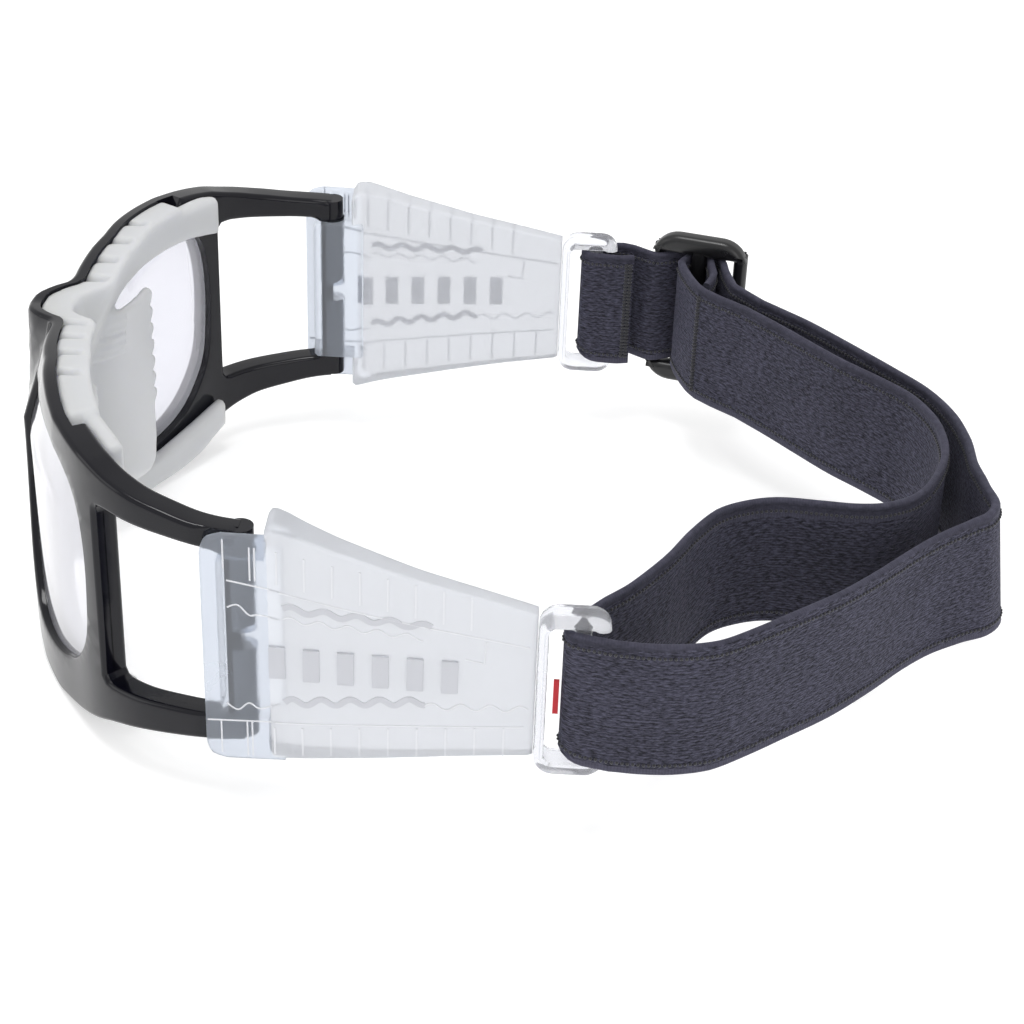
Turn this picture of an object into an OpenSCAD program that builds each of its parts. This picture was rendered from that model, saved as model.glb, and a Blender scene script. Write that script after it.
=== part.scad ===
// Sports protective goggles: a one-piece wrap front with two arms a side, clear lenses, a soft
// face pad, two flexible temples that swing on the arms' prongs, clear strap buckles and one
// elastic band with a tri-glide slider.  Millimetres, +Z up, the goggles face -Y and the
// wearer's left is +X.  The origin is the middle of the bounding box, on its bottom face.

/* [Front frame] */
// Thickness of the front, from its outer face to its inner face
frame_t = 4.8; // [4.2:0.1:5.4]
// Thickness of the lip that stands in front of the face pad along the brow
brow_lip_t = 2.2; // [1.8:0.1:2.6]
// Height of the lower rims' flat feet above the base
foot_z = 0; // [0:0.1:0.5]
// Height of the brow between the face pad's seat and the top edge
pad_seat_h = 4.2; // [3.6:0.1:4.4]

/* [Lenses] */
// Thickness of each lens
lens_t = 2.0; // [1.6:0.1:2.4]
// Depth of the rim's lip in front of the lens
lens_lip_t = 1.3; // [1.0:0.1:1.6]
// Width of the rim's lip around the lens
lens_lip_w = 1.1; // [0.8:0.1:1.5]

/* [Temple hinge] */
// Radius of the prongs that turn down and up from the arm ends
prong_r = 2.4; // [2.2:0.05:2.5]
// Radial clearance between a prong and its bore in the temple
prong_gap = 0.08; // [0.05:0.01:0.10]
// Distance of each prong axis from the centre plane
prong_x = 63.2; // [62.8:0.1:63.6]
// Distance of the prong axes behind the origin, negative towards the front
prong_y = -40.5; // [-41:0.1:-40]

/* [Temples and buckles] */
// Thickness of the outer flap that covers the arm ends
flap_t = 1.6; // [1.4:0.1:1.8]
// Height of each strap buckle
buckle_h = 31; // [30.5:0.1:32]
// Thickness of each strap buckle, across the head
buckle_t = 4.4; // [4.0:0.1:4.8]
// Radius of the bar that the band turns round
bar_r = 1.45; // [1.3:0.05:1.5]

/* [Band and slider] */
// Width of the elastic band
band_w = 25; // [24:0.5:25]
// Thickness of the elastic band
band_t = 1.5; // [1.3:0.1:1.6]
// Length of the slider, along the band
slider_len = 20; // [19:0.5:21]
// Thickness of the slider's rails
slider_t = 4; // [3.6:0.1:4.4]
// Height of each of the slider's rails
slider_rail_h = 4; // [3.6:0.1:4.2]

/* [Hidden] */
$fn = 48;
eps = 0.01;

// ---- points on smooth curves ------------------------------------------------------------

// One point of the Catmull-Rom piece between b and c, at t from 0 to 1
function blend_point(a, b, c, d, t) =
    ((2 * b) + (c - a) * t + (2 * a - 5 * b + 4 * c - d) * t * t
     + (3 * b - a - 3 * c + d) * t * t * t) / 2;

// A smooth open curve through the points p, with n steps between neighbours
function open_curve(p, n) = concat(
    [for (i = [0 : len(p) - 2], s = [0 : n - 1])
        blend_point(p[max(i - 1, 0)], p[i], p[i + 1], p[min(i + 2, len(p) - 1)], s / n)],
    [p[len(p) - 1]]);

// A smooth closed curve through the points p, with n steps between neighbours
function closed_curve(p, n) = [for (i = [0 : len(p) - 1], s = [0 : n - 1])
    blend_point(p[(i + len(p) - 1) % len(p)], p[i], p[(i + 1) % len(p)],
                p[(i + 2) % len(p)], s / n)];

// The curve p moved d to its left
function moved(p, d) = [for (i = [0 : len(p) - 1])
    let (run = p[min(i + 1, len(p) - 1)] - p[max(i - 1, 0)])
    p[i] + d * [-run.y, run.x] / norm(run)];

function reversed(p) = [for (i = [len(p) - 1 : -1 : 0]) p[i]];
function mirrored(p) = [for (q = p) [-q.x, q.y]];

// The outline between the curve p moved a and moved b to its left
function ribbon(p, a, b) = concat(moved(p, a), reversed(moved(p, b)));

// ---- shared shapes ----------------------------------------------------------------------

// The front's outer face from above, from the centre plane to the left arm's end
wrap_left = [[12, -87.1], [24, -84.1], [35, -79.2], [45, -73.2], [54, -67],
             [60.2, -59.8], [63.8, -51.5], [65.5, -45], [66, -37.5]];
wrap = open_curve(concat(reversed(mirrored(wrap_left)), [[0, -88]], wrap_left), 4);

// The brow leans back above lean_z[0].  lean_y gives how far it has gone by lean_z[1], by the
// distance from the centre plane: little at the bridge and at the temples, most between them
lean_z = [40, 57];
lean_y = [[0, 0.5], [3, 0.9], [5.5, 2.8], [7.5, 5.3], [10, 5.7], [14, 5.2], [20, 4.5], [25, 4.1],
          [30, 3], [36, 1.85], [44, 0.2], [48, 0]];
wall_top = 70;

// Half of the front seen from the front, from the bridge's top round to the nose arch
brow_half = [[0, 57.2], [9, 58.1], [20, 59.2], [31, 59.8], [42, 59.1], [50, 58.1],
             [56, 56.9], [62, 54.8], [70, 51.6]];
chin_half = [[70, 13.6], [66, 12.4], [60, 9.3], [53, 5.4], [47, 2.7], [41, 0.9]];
foot_half = [[37, 0], [29, 0]];
nose_half = [[25, 1.8], [21, 4.9], [15.5, 9.6], [11.5, 15], [8, 22], [4, 27.3], [0, 29]];

// The lens opening, seen from the front
lens_edge = [[17, 53.5], [30, 54.5], [43, 53.6], [50.4, 49.8], [53, 42], [53.2, 30], [51.6, 19.5],
             [45.5, 11.2], [36, 7.8], [27, 8.4], [19.8, 14], [13.8, 24], [11, 36], [12, 48]];

// The wearer's side of the pad, open towards each temple
pad_eye = [[18, 49.5], [31, 51.5], [44, 51], [53, 49.6], [64, 48], [64, 12.5], [56, 12.2],
           [46, 9.4], [36, 7.2], [28, 8.8], [22.5, 14], [18.5, 24], [16, 35], [15.6, 44]];

// The brow's nominal top, and the reach of the ledge behind its lip from the centre plane
brow_z = 59.5;
ledge_x = 46;
// The band's lower edge
band_z = 16;
// Clearances of the pad and of each lens, and how far the pad stands behind the front
pad_gap = 0.1;
lens_gap = 0.05;
pad_t = 3.4;

module both_sides() {
    children();
    mirror([1, 0, 0]) children();
}

// A solid that follows the wrap and leans back with the brow, from a to b behind its outer face
module wrap_wall(a, b) {
    n = len(wrap);
    rows = concat(moved(wrap, a), moved(wrap, b));
    levels = [[0, 0], [lean_z[0], 0],
              [wall_top, (wall_top - lean_z[0]) / (lean_z[1] - lean_z[0])]];
    points = [for (l = levels, i = [0 : 2 * n - 1])
        [rows[i].x, rows[i].y + l[1] * lookup(abs(wrap[i % n].x), lean_y), l[0]]];
    // the outer face, the inner face, the two ends, then the bottom and the top
    front = [for (l = [0, 1], i = [0 : n - 2], t = [0, 1]) let (k = 2 * n * l + i, up = k + 2 * n)
        t == 0 ? [k, up, up + 1] : [k, up + 1, k + 1]];
    back = [for (f = front) [f[0] + n, f[2] + n, f[1] + n]];
    ends = [for (l = [0, 1], e = [0, 1]) let (k = 2 * n * l + e * (n - 1), up = k + 2 * n)
        e == 0 ? [k, k + n, up + n, up] : [k, up, up + n, k + n]];
    caps = [for (i = [0 : n - 2], t = [0, 1]) let (k = 4 * n * t + i)
        t == 0 ? [k, k + 1, k + n + 1, k + n] : [k, k + n, k + n + 1, k + 1]];
    polyhedron(points, concat(front, back, ends, caps));
}

// A solid with the outline p seen from the side, as [y, z], between x0 and x1
module from_side(p, x0, x1) {
    translate([x1, 0, 0]) rotate([90, 0, -90]) linear_extrude(x1 - x0)
        polygon([for (q = p) [-q.x, q.y]]);
}

// A solid with the outline p seen from the front, as [x, z], right through the front
module seen_from_front(p) {
    translate([0, -30, 0]) rotate([90, 0, 0]) linear_extrude(70) polygon(p);
}

module front_outline() {
    right = concat(open_curve(brow_half, 4), open_curve(chin_half, 4),
                   foot_half, open_curve(nose_half, 4));
    seen_from_front([for (q = right) [q.x, max(q.y, foot_z)]]);
}

module lens_hole(inset) {
    seen_from_front(moved(closed_curve(lens_edge, 5), -inset));
}

// ---- front frame ------------------------------------------------------------------------

arm_top = [[-72, 66], [-70, 58.2], [-66, 57.1], [-62, 55.8], [-58, 54.7], [-54, 53.9],
           [-50, 53.1], [-46, 52.6], [-36, 52]];
arm_foot = [[-36, 12.8], [-46, 11.7], [-52, 10.7], [-58, 9.6], [-62, 8.4], [-72, 3]];
window_z = [[-75, 14.6], [-43.2, 17.2], [-30, 17.2], [-30, 48.2], [-43.2, 48.2], [-75, 50.8]];
window_front = [[63.3, -75.5], [57.1, -67.4], [52.9, -63.2], [45.7, -51]];
// The arm ends' inner and outer faces, and where they start to thin
arm_x = [61, 65.4];
arm_thin_y = [-47, -43];
// The lowest part of the lower arm's round end
arm_root_z = 12.8;
// The two prongs' tips, and the inner edges of the lower and upper arms
prong_end_z = [30.2, 33.8];
prong_tip_r = 1.4;
arm_z = [17.2, 48.2];

// The window between the arms, cut square to the curving wall
module side_window() {
    intersection() {
        linear_extrude(70) polygon(concat(window_front, [[45.7, -30], [75, -30], [75, -75.5]]));
        from_side(window_z, 40, 80);
    }
}

// The side of the front behind the rims: both arms, seen from the side
module arm_side() {
    from_side(concat(arm_top, arm_foot), 40, 80);
}

// The round prong pair that the temple swings on, with the arms' round ends
module prongs() {
    translate([prong_x, prong_y, 0]) {
        for (z = [arm_root_z, arm_z[1]]) translate([0, 0, z])
            cylinder(r = (arm_x[1] - arm_x[0]) / 2, h = z < arm_z[0] ? arm_z[0] - z + eps : 4);
        translate([0, 0, arm_z[0] - eps])
            cylinder(r = prong_r, h = prong_end_z[0] - arm_z[0] - 1);
        translate([0, 0, prong_end_z[0] - 1 - 2 * eps]) cylinder(r1 = prong_r, r2 = prong_tip_r, h = 1);
        translate([0, 0, prong_end_z[1] + 1])
            cylinder(r = prong_r, h = arm_z[1] - prong_end_z[1] - 1 + eps);
        translate([0, 0, prong_end_z[1] + 2 * eps]) cylinder(r1 = prong_tip_r, r2 = prong_r, h = 1);
    }
}

module front_half() {
    difference() {
        intersection() {
            wrap_wall(0, frame_t);
            union() {
                intersection() {
                    front_outline();
                    translate([-eps, -100, 0]) cube([80, 36, 70]);
                }
                intersection() {
                    arm_side();
                    translate([50, -64 - eps, 0]) cube([30, 64 + eps + prong_y, 70]);
                }
            }
        }
        // the lens seat, open towards the face, and the opening inside its lip
        intersection() {
            wrap_wall(lens_lip_t, frame_t + 5);
            lens_hole(0);
        }
        lens_hole(lens_lip_w);
        side_window();
        // the brow's ledge that the face pad sits on
        intersection() {
            wrap_wall(brow_lip_t, frame_t + 5);
            translate([-eps, -100, brow_z - pad_seat_h]) cube([ledge_x, 60, 10]);
        }
        // the arm ends are thinner, to let the flap lie flush
        translate([arm_x[1], arm_thin_y[0], 0]) cube([10, 12, 70]);
        translate([arm_x[0] - 10, arm_thin_y[1], 0]) cube([10, 12, 70]);
    }
    prongs();
}

module front_frame() {
    color([0.10, 0.10, 0.11]) both_sides() front_half();
}

// ---- lenses -----------------------------------------------------------------------------

module lens() {
    color([0.90, 0.91, 0.95, 0.4]) intersection() {
        wrap_wall(lens_lip_t + lens_gap, lens_lip_t + lens_gap + lens_t);
        lens_hole(lens_gap);
    }
}

module lens_left() { lens(); }
module lens_right() { mirror([1, 0, 0]) lens(); }

// ---- face pad ---------------------------------------------------------------------------

wing_plan = [[9.2, -81.4], [11, -78], [14.5, -74.8], [20, -72.2], [26.5, -70.6]];
wing_side = [[-86, 12], [-70, 10], [-66, 14], [-66, 44], [-70, 49], [-86, 50]];
wing_t = 1.6;
// The pad's ends, short of the side windows
pad_end_y = -63.6;

module pad_half() {
    // the wall against the frame's inner face, and the brow cushion over its ledge
    difference() {
        intersection() {
            wrap_wall(frame_t + pad_gap, frame_t + pad_t);
            front_outline();
            translate([-eps, -100, 1]) cube([70, 100 + pad_end_y, 57]);
        }
        seen_from_front(closed_curve(pad_eye, 4));
    }
    intersection() {
        wrap_wall(brow_lip_t + pad_gap, frame_t + pad_t);
        front_outline();
        translate([-eps, -100, brow_z - pad_seat_h + pad_gap]) cube([ledge_x - pad_gap, 60, 6]);
    }
    // the wing that lies along the nose, behind the front
    difference() {
        intersection() {
            linear_extrude(60) polygon(ribbon(open_curve(wing_plan, 5), -wing_t, 0));
            from_side(wing_side, 0, 40);
        }
        wrap_wall(-1, frame_t + pad_gap);
    }
}

module face_pad() {
    color([0.86, 0.87, 0.88, 0.9]) both_sides() pad_half();
}

// ---- temples ----------------------------------------------------------------------------

temple_side = [[-36.4, 54], [-34.4, 54.6], [-25, 51.4], [-12, 47.6], [0, 44.8], [6.6, 43.2],
               [6.6, 16], [-5, 14.6], [-20, 12.4], [-36.4, 10.4]];
temple_plan = [[59.6, -36.4], [62.4, -30], [65.4, -14], [67.6, 6.6],
               [70.6, 6.6], [69.6, -14], [68.6, -30], [67.8, -36.4]];
flap_side = [[-34, 52.9], [-43, 52.9], [-45.4, 52], [-46.5, 49.8], [-46.5, 13], [-45.4, 10.8],
             [-43, 9.9], [-34, 9.9]];
flap_x = 66.2;
// The tongue between the arms: its inner face, its front and rear, and its height
tongue_x = 59.6;
tongue_y = [-44.2, -36.4];
tongue_z = [17.5, 47.9];
// The tenon that fixes the buckle on the blade's end
tenon = [[68.3, 6.6 - eps, 17.5], [1.8, 1, 22]];

module temple() {
    color([0.84, 0.85, 0.88, 0.7]) difference() {
        union() {
            // the outer flap over both arm ends
            from_side(flap_side, flap_x, flap_x + flap_t);
            // the tongue between the arms, round the prongs
            translate([tongue_x, tongue_y[0], tongue_z[0]])
                cube([flap_x - tongue_x + eps, tongue_y[1] - tongue_y[0] + eps,
                      tongue_z[1] - tongue_z[0]]);
            // the long blade
            intersection() {
                linear_extrude(60) polygon(temple_plan);
                from_side(temple_side, 55, 75);
            }
            translate(tenon[0]) cube(tenon[1]);
        }
        // the two blind bores that hold the prongs
        translate([prong_x, prong_y, tongue_z[0] - 1])
            cylinder(r = prong_r + prong_gap, h = prong_end_z[0] + 0.1 - tongue_z[0] + 1);
        translate([prong_x, prong_y, prong_end_z[1] - 0.1])
            cylinder(r = prong_r + prong_gap, h = tongue_z[1] - prong_end_z[1] + 1.1);
    }
}

module temple_left() { temple(); }
module temple_right() { mirror([1, 0, 0]) temple(); }

// ---- buckles ----------------------------------------------------------------------------

buckle_y = [6.6, 18];
buckle_mid_z = 28.5;
buckle_x = 69.5;
buckle_corner = 3.2;
bar_y = 13.5;
slot_front = 8.3;
slot_h = band_w + 0.5;

// A plate seen from the side, y0 to y1, with round corners, w thick and centred on x = 0
module side_plate(y0, y1, h, r, w) {
    rotate([90, 0, 90]) linear_extrude(w, center = true) union() {
        translate([y0 + r, -h / 2]) square([y1 - y0 - 2 * r, h]);
        translate([y0, -h / 2 + r]) square([y1 - y0, h - 2 * r]);
        for (y = [y0 + r, y1 - r], z = [-h / 2 + r, h / 2 - r]) translate([y, z]) circle(r);
    }
}

module buckle() {
    color([0.86, 0.88, 0.92, 0.5]) translate([buckle_x, 0, buckle_mid_z]) {
        difference() {
            side_plate(buckle_y[0], buckle_y[1], buckle_h, buckle_corner, buckle_t);
            translate([-5, slot_front, -slot_h / 2])
                cube([10, buckle_y[1] - slot_front + 1, slot_h]);
            translate([tenon[0].x - buckle_x - 0.05, 0, tenon[0].z - buckle_mid_z - 0.05])
                cube([tenon[1].x + 0.1, buckle_y[0] + tenon[1].y + 0.05, tenon[1].z + 0.1]);
        }
        translate([0, bar_y, -slot_h / 2 - eps]) cylinder(r = bar_r, h = slot_h + 2 * eps);
    }
}

module buckle_left() { buckle(); }
module buckle_right() { mirror([1, 0, 0]) buckle(); }

// ---- elastic band -----------------------------------------------------------------------

// The band's turn round a buckle's bar, as far as its two straight runs
turn_r = bar_r + 0.15 + band_t / 2;
function bar_turn(from_a, to_a) = [for (a = [from_a : (to_a - from_a) / 10 : to_a])
    [buckle_x, bar_y] + turn_r * [cos(a), sin(a)]];

// Routes from above, through the middle of the band's thickness, from the left buckle back
// and round to the stretch behind the slider
outer_route = [[73.2, 19], [73.1, 24], [72.2, 29.4], [70, 35], [66, 40.6], [60.6, 47.2],
               [54.4, 54.6], [47.4, 61.4], [40.4, 67.6], [35, 73.6], [31.4, 79.6],
               [28.6, 84.6], [24, 87.2], [18, 85.4], [11, 82.2], [2, 81.2], [-6.6, 79.6],
               [-15, 76], [-22.4, 70.6], [-31, 63.7], [-40, 56.2], [-44.8, 51.4], [-49, 47]];
inner_route = [[61.2, 16.9], [56, 21.6], [48.4, 27], [41, 31], [34.6, 35.6], [31.2, 40.9],
               [29.8, 46.2], [30.2, 53], [30.6, 59], [29.6, 64.4], [26, 69.4], [20, 73.6],
               [12, 76.2], [4, 77], [-4.6, 76], [-12.6, 72.6], [-18.6, 67.4], [-25, 61],
               [-32.4, 54.8], [-39, 49.4], [-45.6, 43.6]];
outer_path = open_curve(outer_route, 4);
inner_path = open_curve(inner_route, 4);
// The sewn end's two legs, from the right buckle's bar, drawn on the left side
right_outer_leg = [[73.1, 19], [72.2, 21.4]];
right_inner_leg = [[66.6, 18.8], [67.2, 21.4]];

swing_r = [110, 130];
swing_gap = 0.4;

// The band standing on edge along a ready path
module band(path) {
    translate([0, 0, band_z]) linear_extrude(band_w)
        polygon(ribbon(path, -band_t / 2, band_t / 2));
}

// A disc about a temple's hinge, left for s = 1 and right for s = -1
module swing_disc(s, r) {
    translate([s * prong_x, prong_y, 0]) cylinder(r = r, h = 70, $fn = 180);
}

module right_side() {
    intersection() {
        children();
        translate([-100, 0, 0]) cube([105, 100, 70]);
        swing_disc(-1, swing_r[1]);
    }
}

module rear() {
    difference() {
        children();
        swing_disc(1, swing_r[0] + swing_gap);
        swing_disc(-1, swing_r[1] + swing_gap);
    }
}

module fabric() { color([0.24, 0.24, 0.29]) children(); }

module strap_left_loop() {
    fabric() intersection() {
        band(concat(reversed(inner_path), bar_turn(240, 350), outer_path));
        swing_disc(1, swing_r[0]);
    }
}

module strap_rear_outer() { fabric() rear() band(outer_path); }
module strap_rear_inner() { fabric() rear() band(inner_path); }
module strap_right_outer() { fabric() right_side() band(outer_path); }
module strap_right_inner() { fabric() right_side() band(inner_path); }

module strap_right_loop() {
    fabric() mirror([1, 0, 0])
        band(concat(reversed(right_inner_leg), bar_turn(195, 355), right_outer_leg));
}

label_at = [69.2, 9.3, 24];
label_size = [0.6, 1, 6.6];

// A small folded label sewn to the band inside the left buckle's slot
module side_label() {
    color([0.72, 0.10, 0.12]) translate(label_at) cube(label_size);
}

// ---- slider -----------------------------------------------------------------------------

// The slider's own axes: u along its rails towards the rear, v towards the head
slider_at = [-67.8, 34.8];
slider_turn = 15;
slider_bars = [[-8.4, -2], [0, 0], [8.4, -2]];
slider_bar_r = 1.45;
slider_corner = 5.5;
slider_v = -0.9;

function from_slider(q) = slider_at + [q.x * sin(slider_turn) + q.y * cos(slider_turn),
                                       q.x * cos(slider_turn) - q.y * sin(slider_turn)];

// The band's way through the slider: inside both end bars, outside the middle one
pass_route = [[-10, 0.8], [-8.3, 0.9], [-6.2, -0.7], [-3.6, -3.1], [0, -4.3], [3.4, -3],
              [5.2, -0.2], [6.4, 3], [8, 6.4], [9.7, 9.7]];
// The sewn end round the middle bar, then the inner layer's first stretch
loop_front = [[-3.2, 2.2], [-1.6, 5.6], [0.4, 9], [2.6, 12.2]];
loop_rear = [[3.4, 2.4], [4.4, 5], [4.6, 8], [4.3, 11.4]];
inner_start = [[4.6, 14.2], [8.4, 16.4]];
loop_r = slider_bar_r + 0.25 + band_t / 2;

module slider() {
    rail_z = slot_h / 2 + slider_rail_h;
    color([0.08, 0.08, 0.09]) translate([slider_at.x, slider_at.y, band_z + band_w / 2])
        rotate(-slider_turn) {
            difference() {
                translate([slider_v, 0, 0])
                    side_plate(-slider_len / 2, slider_len / 2, 2 * rail_z, slider_corner,
                               slider_t);
                translate([-10, -slider_len, -slot_h / 2]) cube([20, 2 * slider_len, slot_h]);
            }
            for (b = slider_bars) translate([b.y, b.x, -slot_h / 2 - eps])
                cylinder(r = slider_bar_r, h = slot_h + 2 * eps);
        }
}

module strap_slider_pass() {
    fabric() band([for (q = open_curve(pass_route, 3)) from_slider(q)]);
}

module strap_slider_loop() {
    turn = [for (a = [-10 : -20 : -170]) loop_r * [cos(a), sin(a)]];
    legs = concat(reversed(loop_rear), turn, loop_front, inner_start);
    fabric() band([for (q = legs) from_slider(q)]);
}

// ---- stitching --------------------------------------------------------------------------

thread_r = 0.35;

// A bar of tight stitches across the band, at a point seen from above
module bartack(at, turn) {
    color([0.17, 0.17, 0.20]) translate([at.x, at.y, band_z + 2]) rotate(turn)
        translate([-thread_r, -0.8, 0]) cube([2 * thread_r, 1.6, band_w - 4]);
}

module seam_right_loop() {
    bartack([-67, 20.4], 0);
}

module seam_slider_loop() {
    bartack(from_slider([3.7, 13.6]), 30);
}

front_frame();
lens_left();
lens_right();
face_pad();
temple_left();
temple_right();
buckle_left();
buckle_right();
strap_left_loop();
strap_rear_outer();
strap_rear_inner();
strap_right_outer();
strap_right_inner();
strap_right_loop();
strap_slider_pass();
strap_slider_loop();
slider();
seam_right_loop();
seam_slider_loop();
side_label();
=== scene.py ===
"""Sports protective goggles, dressed for a plain studio.

The front, pad, temples, buckles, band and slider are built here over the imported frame, in
metres, with sizes given in millimetres.  +Z is up, the goggles face -Y and the wearer's left
is +X.
"""

import logging
import math
from dataclasses import dataclass
from enum import Enum
from typing import Callable, ClassVar, Iterable, Optional, Sequence

import bmesh
import bpy
import numpy as np
from mathutils import Matrix, Vector
from mathutils.geometry import delaunay_2d_cdt


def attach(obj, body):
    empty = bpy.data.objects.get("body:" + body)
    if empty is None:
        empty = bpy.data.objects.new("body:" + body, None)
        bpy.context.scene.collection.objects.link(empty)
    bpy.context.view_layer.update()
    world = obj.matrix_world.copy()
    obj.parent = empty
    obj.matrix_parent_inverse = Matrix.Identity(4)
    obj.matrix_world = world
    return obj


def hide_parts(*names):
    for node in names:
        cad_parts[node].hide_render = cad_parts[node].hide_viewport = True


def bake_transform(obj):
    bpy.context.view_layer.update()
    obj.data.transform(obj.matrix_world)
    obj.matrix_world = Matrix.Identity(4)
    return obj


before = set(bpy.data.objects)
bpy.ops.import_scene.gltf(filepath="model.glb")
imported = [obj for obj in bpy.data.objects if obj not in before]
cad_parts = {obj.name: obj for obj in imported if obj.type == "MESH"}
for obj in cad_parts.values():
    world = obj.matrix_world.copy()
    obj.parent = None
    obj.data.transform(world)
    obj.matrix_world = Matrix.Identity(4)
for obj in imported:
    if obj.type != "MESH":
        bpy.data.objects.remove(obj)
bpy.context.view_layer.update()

log = logging.getLogger("goggles")
logging.basicConfig(level=logging.INFO, format="%(message)s")

MM = 0.001
Thing = bpy.types.Object
Socket = bpy.types.NodeSocket
Point = tuple[float, float, float]
Line = list[tuple[float, float]]
Rings = Sequence[tuple[float, float]]
ROW_SHARE = 0.87  # of the pitch, between rows of points inside a plate
RIM_SHARE = 0.55  # of the pitch, that those points keep clear of its rim
FINE = 1.2  # spacing of points along the front's outlines
PRONG_AT = (63.2, -40.5)
PRONG_SIDES = 32
BAR_AT = (69.5, 13.5)  # the left buckle's bar, seen from above
BAR_R = 1.45
BAND_LOW, BAND_WIDE = 16.0, 25.0
BAND_MID_Z = BAND_LOW + BAND_WIDE / 2
SLOT_LONG = 25.5
SLIDER_AT = (-67.8, 34.8)
SLIDER_TURN = math.radians(15.0)


class Side(Enum):
    """The wearer's two sides, as the sign of X."""

    LEFT = 1
    RIGHT = -1


class Body(str, Enum):
    """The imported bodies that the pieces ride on."""

    FRAME = "frame"
    LEFT = "left_temple"
    RIGHT = "right_temple"
    SLIDER = "strap_slider"


# ---- lines ------------------------------------------------------------------------------


def smooth(points: Line, steps: int, closed: bool = False) -> Line:
    """Runs a Catmull-Rom curve through points.

    Args:
        points: the points it passes through.
        steps: the pieces between two neighbours.
        closed: whether it comes back to its start.

    Returns:
        The points of the curve.
    """
    n = len(points)
    out: Line = []
    for i in range(n if closed else n - 1):
        if closed:
            a, b, c, d = (points[(i + k) % n] for k in (-1, 0, 1, 2))
        else:
            a, b, c, d = (points[min(max(i + k, 0), n - 1)] for k in (-1, 0, 1, 2))
        for s in range(steps):
            t = s / steps
            out.append(
                tuple(
                    0.5
                    * (
                        2 * b[k]
                        + (c[k] - a[k]) * t
                        + (2 * a[k] - 5 * b[k] + 4 * c[k] - d[k]) * t * t
                        + (3 * b[k] - a[k] - 3 * c[k] + d[k]) * t**3
                    )
                    for k in (0, 1)
                )
            )
    if not closed:
        out.append(tuple(points[-1]))
    return out


def flipped(points: Line) -> Line:
    """Mirrors a line from the left side to the right."""
    return [(-x, y) for x, y in points]


def both_sides(left: Line, back: Line) -> Line:
    """Closes the left half of an outline with the mirrored points of its way back."""
    return left + flipped(back)


def run_along(p: np.ndarray) -> np.ndarray:
    """The running length at each point of a line, one point a row."""
    return np.concatenate([[0], np.cumsum(np.hypot(*np.diff(p, axis=0).T))])


def spaced(points: Line, pitch: float, closed: bool = False) -> Line:
    """Lays points along a line at an even pitch, keeping its ends.

    Args:
        points: the line.
        pitch: the distance between points.
        closed: whether the line comes back to its start.

    Returns:
        The new line.
    """
    p = np.array(list(points) + ([points[0]] if closed else []), float)
    run = run_along(p)
    count = max(2, round(run[-1] / pitch) + 1)
    at = np.linspace(0, run[-1], count)[: -1 if closed else None]
    return [tuple(q) for q in np.stack([np.interp(at, run, p[:, k]) for k in (0, 1)], 1)]


def grown(points: Line, by: float, closed: bool = True) -> Line:
    """Moves a line to its right by a distance.

    Args:
        points: the line.
        by: the distance; negative moves it to its left.
        closed: whether the line comes back to its start.

    Returns:
        The moved line.
    """
    p = np.array(points, float)
    if closed:
        back, ahead = p - np.roll(p, 1, 0), np.roll(p, -1, 0) - p
    else:
        ahead = np.vstack([p[1:] - p[:-1], p[-1:] - p[-2:-1]])
        back = np.vstack([ahead[:1], ahead[:-1]])
    back /= np.maximum(np.linalg.norm(back, axis=1, keepdims=True), 1e-9)
    ahead /= np.maximum(np.linalg.norm(ahead, axis=1, keepdims=True), 1e-9)
    mid = back + ahead
    mid /= np.maximum(np.linalg.norm(mid, axis=1, keepdims=True), 1e-9)
    cos = np.clip((mid * back).sum(1), 0.5, 1)
    q = p + by * np.stack([mid[:, 1], -mid[:, 0]], 1) / cos[:, None]
    return [tuple(v) for v in q]


def area(points: Line) -> float:
    """The signed area inside a closed line, positive when it turns left."""
    x, y = np.array(points, float).T
    return 0.5 * float((x * np.roll(y, -1) - np.roll(x, -1) * y).sum())


def turned_left(points: Line) -> Line:
    """The closed line, running counter-clockwise."""
    return list(points) if area(points) > 0 else list(points)[::-1]


def inside(line: Line, at: np.ndarray) -> np.ndarray:
    """Which points lie inside a closed line.

    Args:
        line: the closed line.
        at: the points, one a row.

    Returns:
        A row of true or false.
    """
    x, y = at[:, 0], at[:, 1]
    found = np.zeros(len(at), bool)
    p = np.array(line, float)
    q = np.roll(p, -1, 0)
    for (x0, y0), (x1, y1) in zip(p, q):
        if y0 != y1:
            crosses = ((y0 > y) != (y1 > y)) & (x < (x1 - x0) * (y - y0) / (y1 - y0) + x0)
            found ^= crosses
    return found


def in_plate(loops: Sequence[Line], at: np.ndarray) -> np.ndarray:
    """Which points lie inside the first loop and outside all the others."""
    found = inside(loops[0], at)
    for loop in loops[1:]:
        found &= ~inside(loop, at)
    return found


# ---- meshes -----------------------------------------------------------------------------


def new_object(name: str, data: bpy.types.ID) -> Thing:
    """Makes an object in the scene round its data."""
    obj = bpy.data.objects.new(name, data)
    bpy.context.scene.collection.objects.link(obj)
    return obj


def mesh_object(
    name: str, verts: Iterable[Sequence[float]], faces: Iterable[Sequence[int]]
) -> Thing:
    """Makes an object at the origin from points in millimetres.

    Args:
        name: the object's name.
        verts: its points, in millimetres.
        faces: its faces.

    Returns:
        The object, smooth and with outward faces.
    """
    mesh = bpy.data.meshes.new(name)
    mesh.from_pydata([tuple(c * MM for c in v) for v in verts], [], list(faces))
    bm = bmesh.new()
    bm.from_mesh(mesh)
    bmesh.ops.remove_doubles(bm, verts=bm.verts, dist=1e-6)
    bmesh.ops.recalc_face_normals(bm, faces=bm.faces)
    for f in bm.faces:
        f.smooth = True
    bm.to_mesh(mesh)
    bm.free()
    return new_object(name, mesh)


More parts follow.
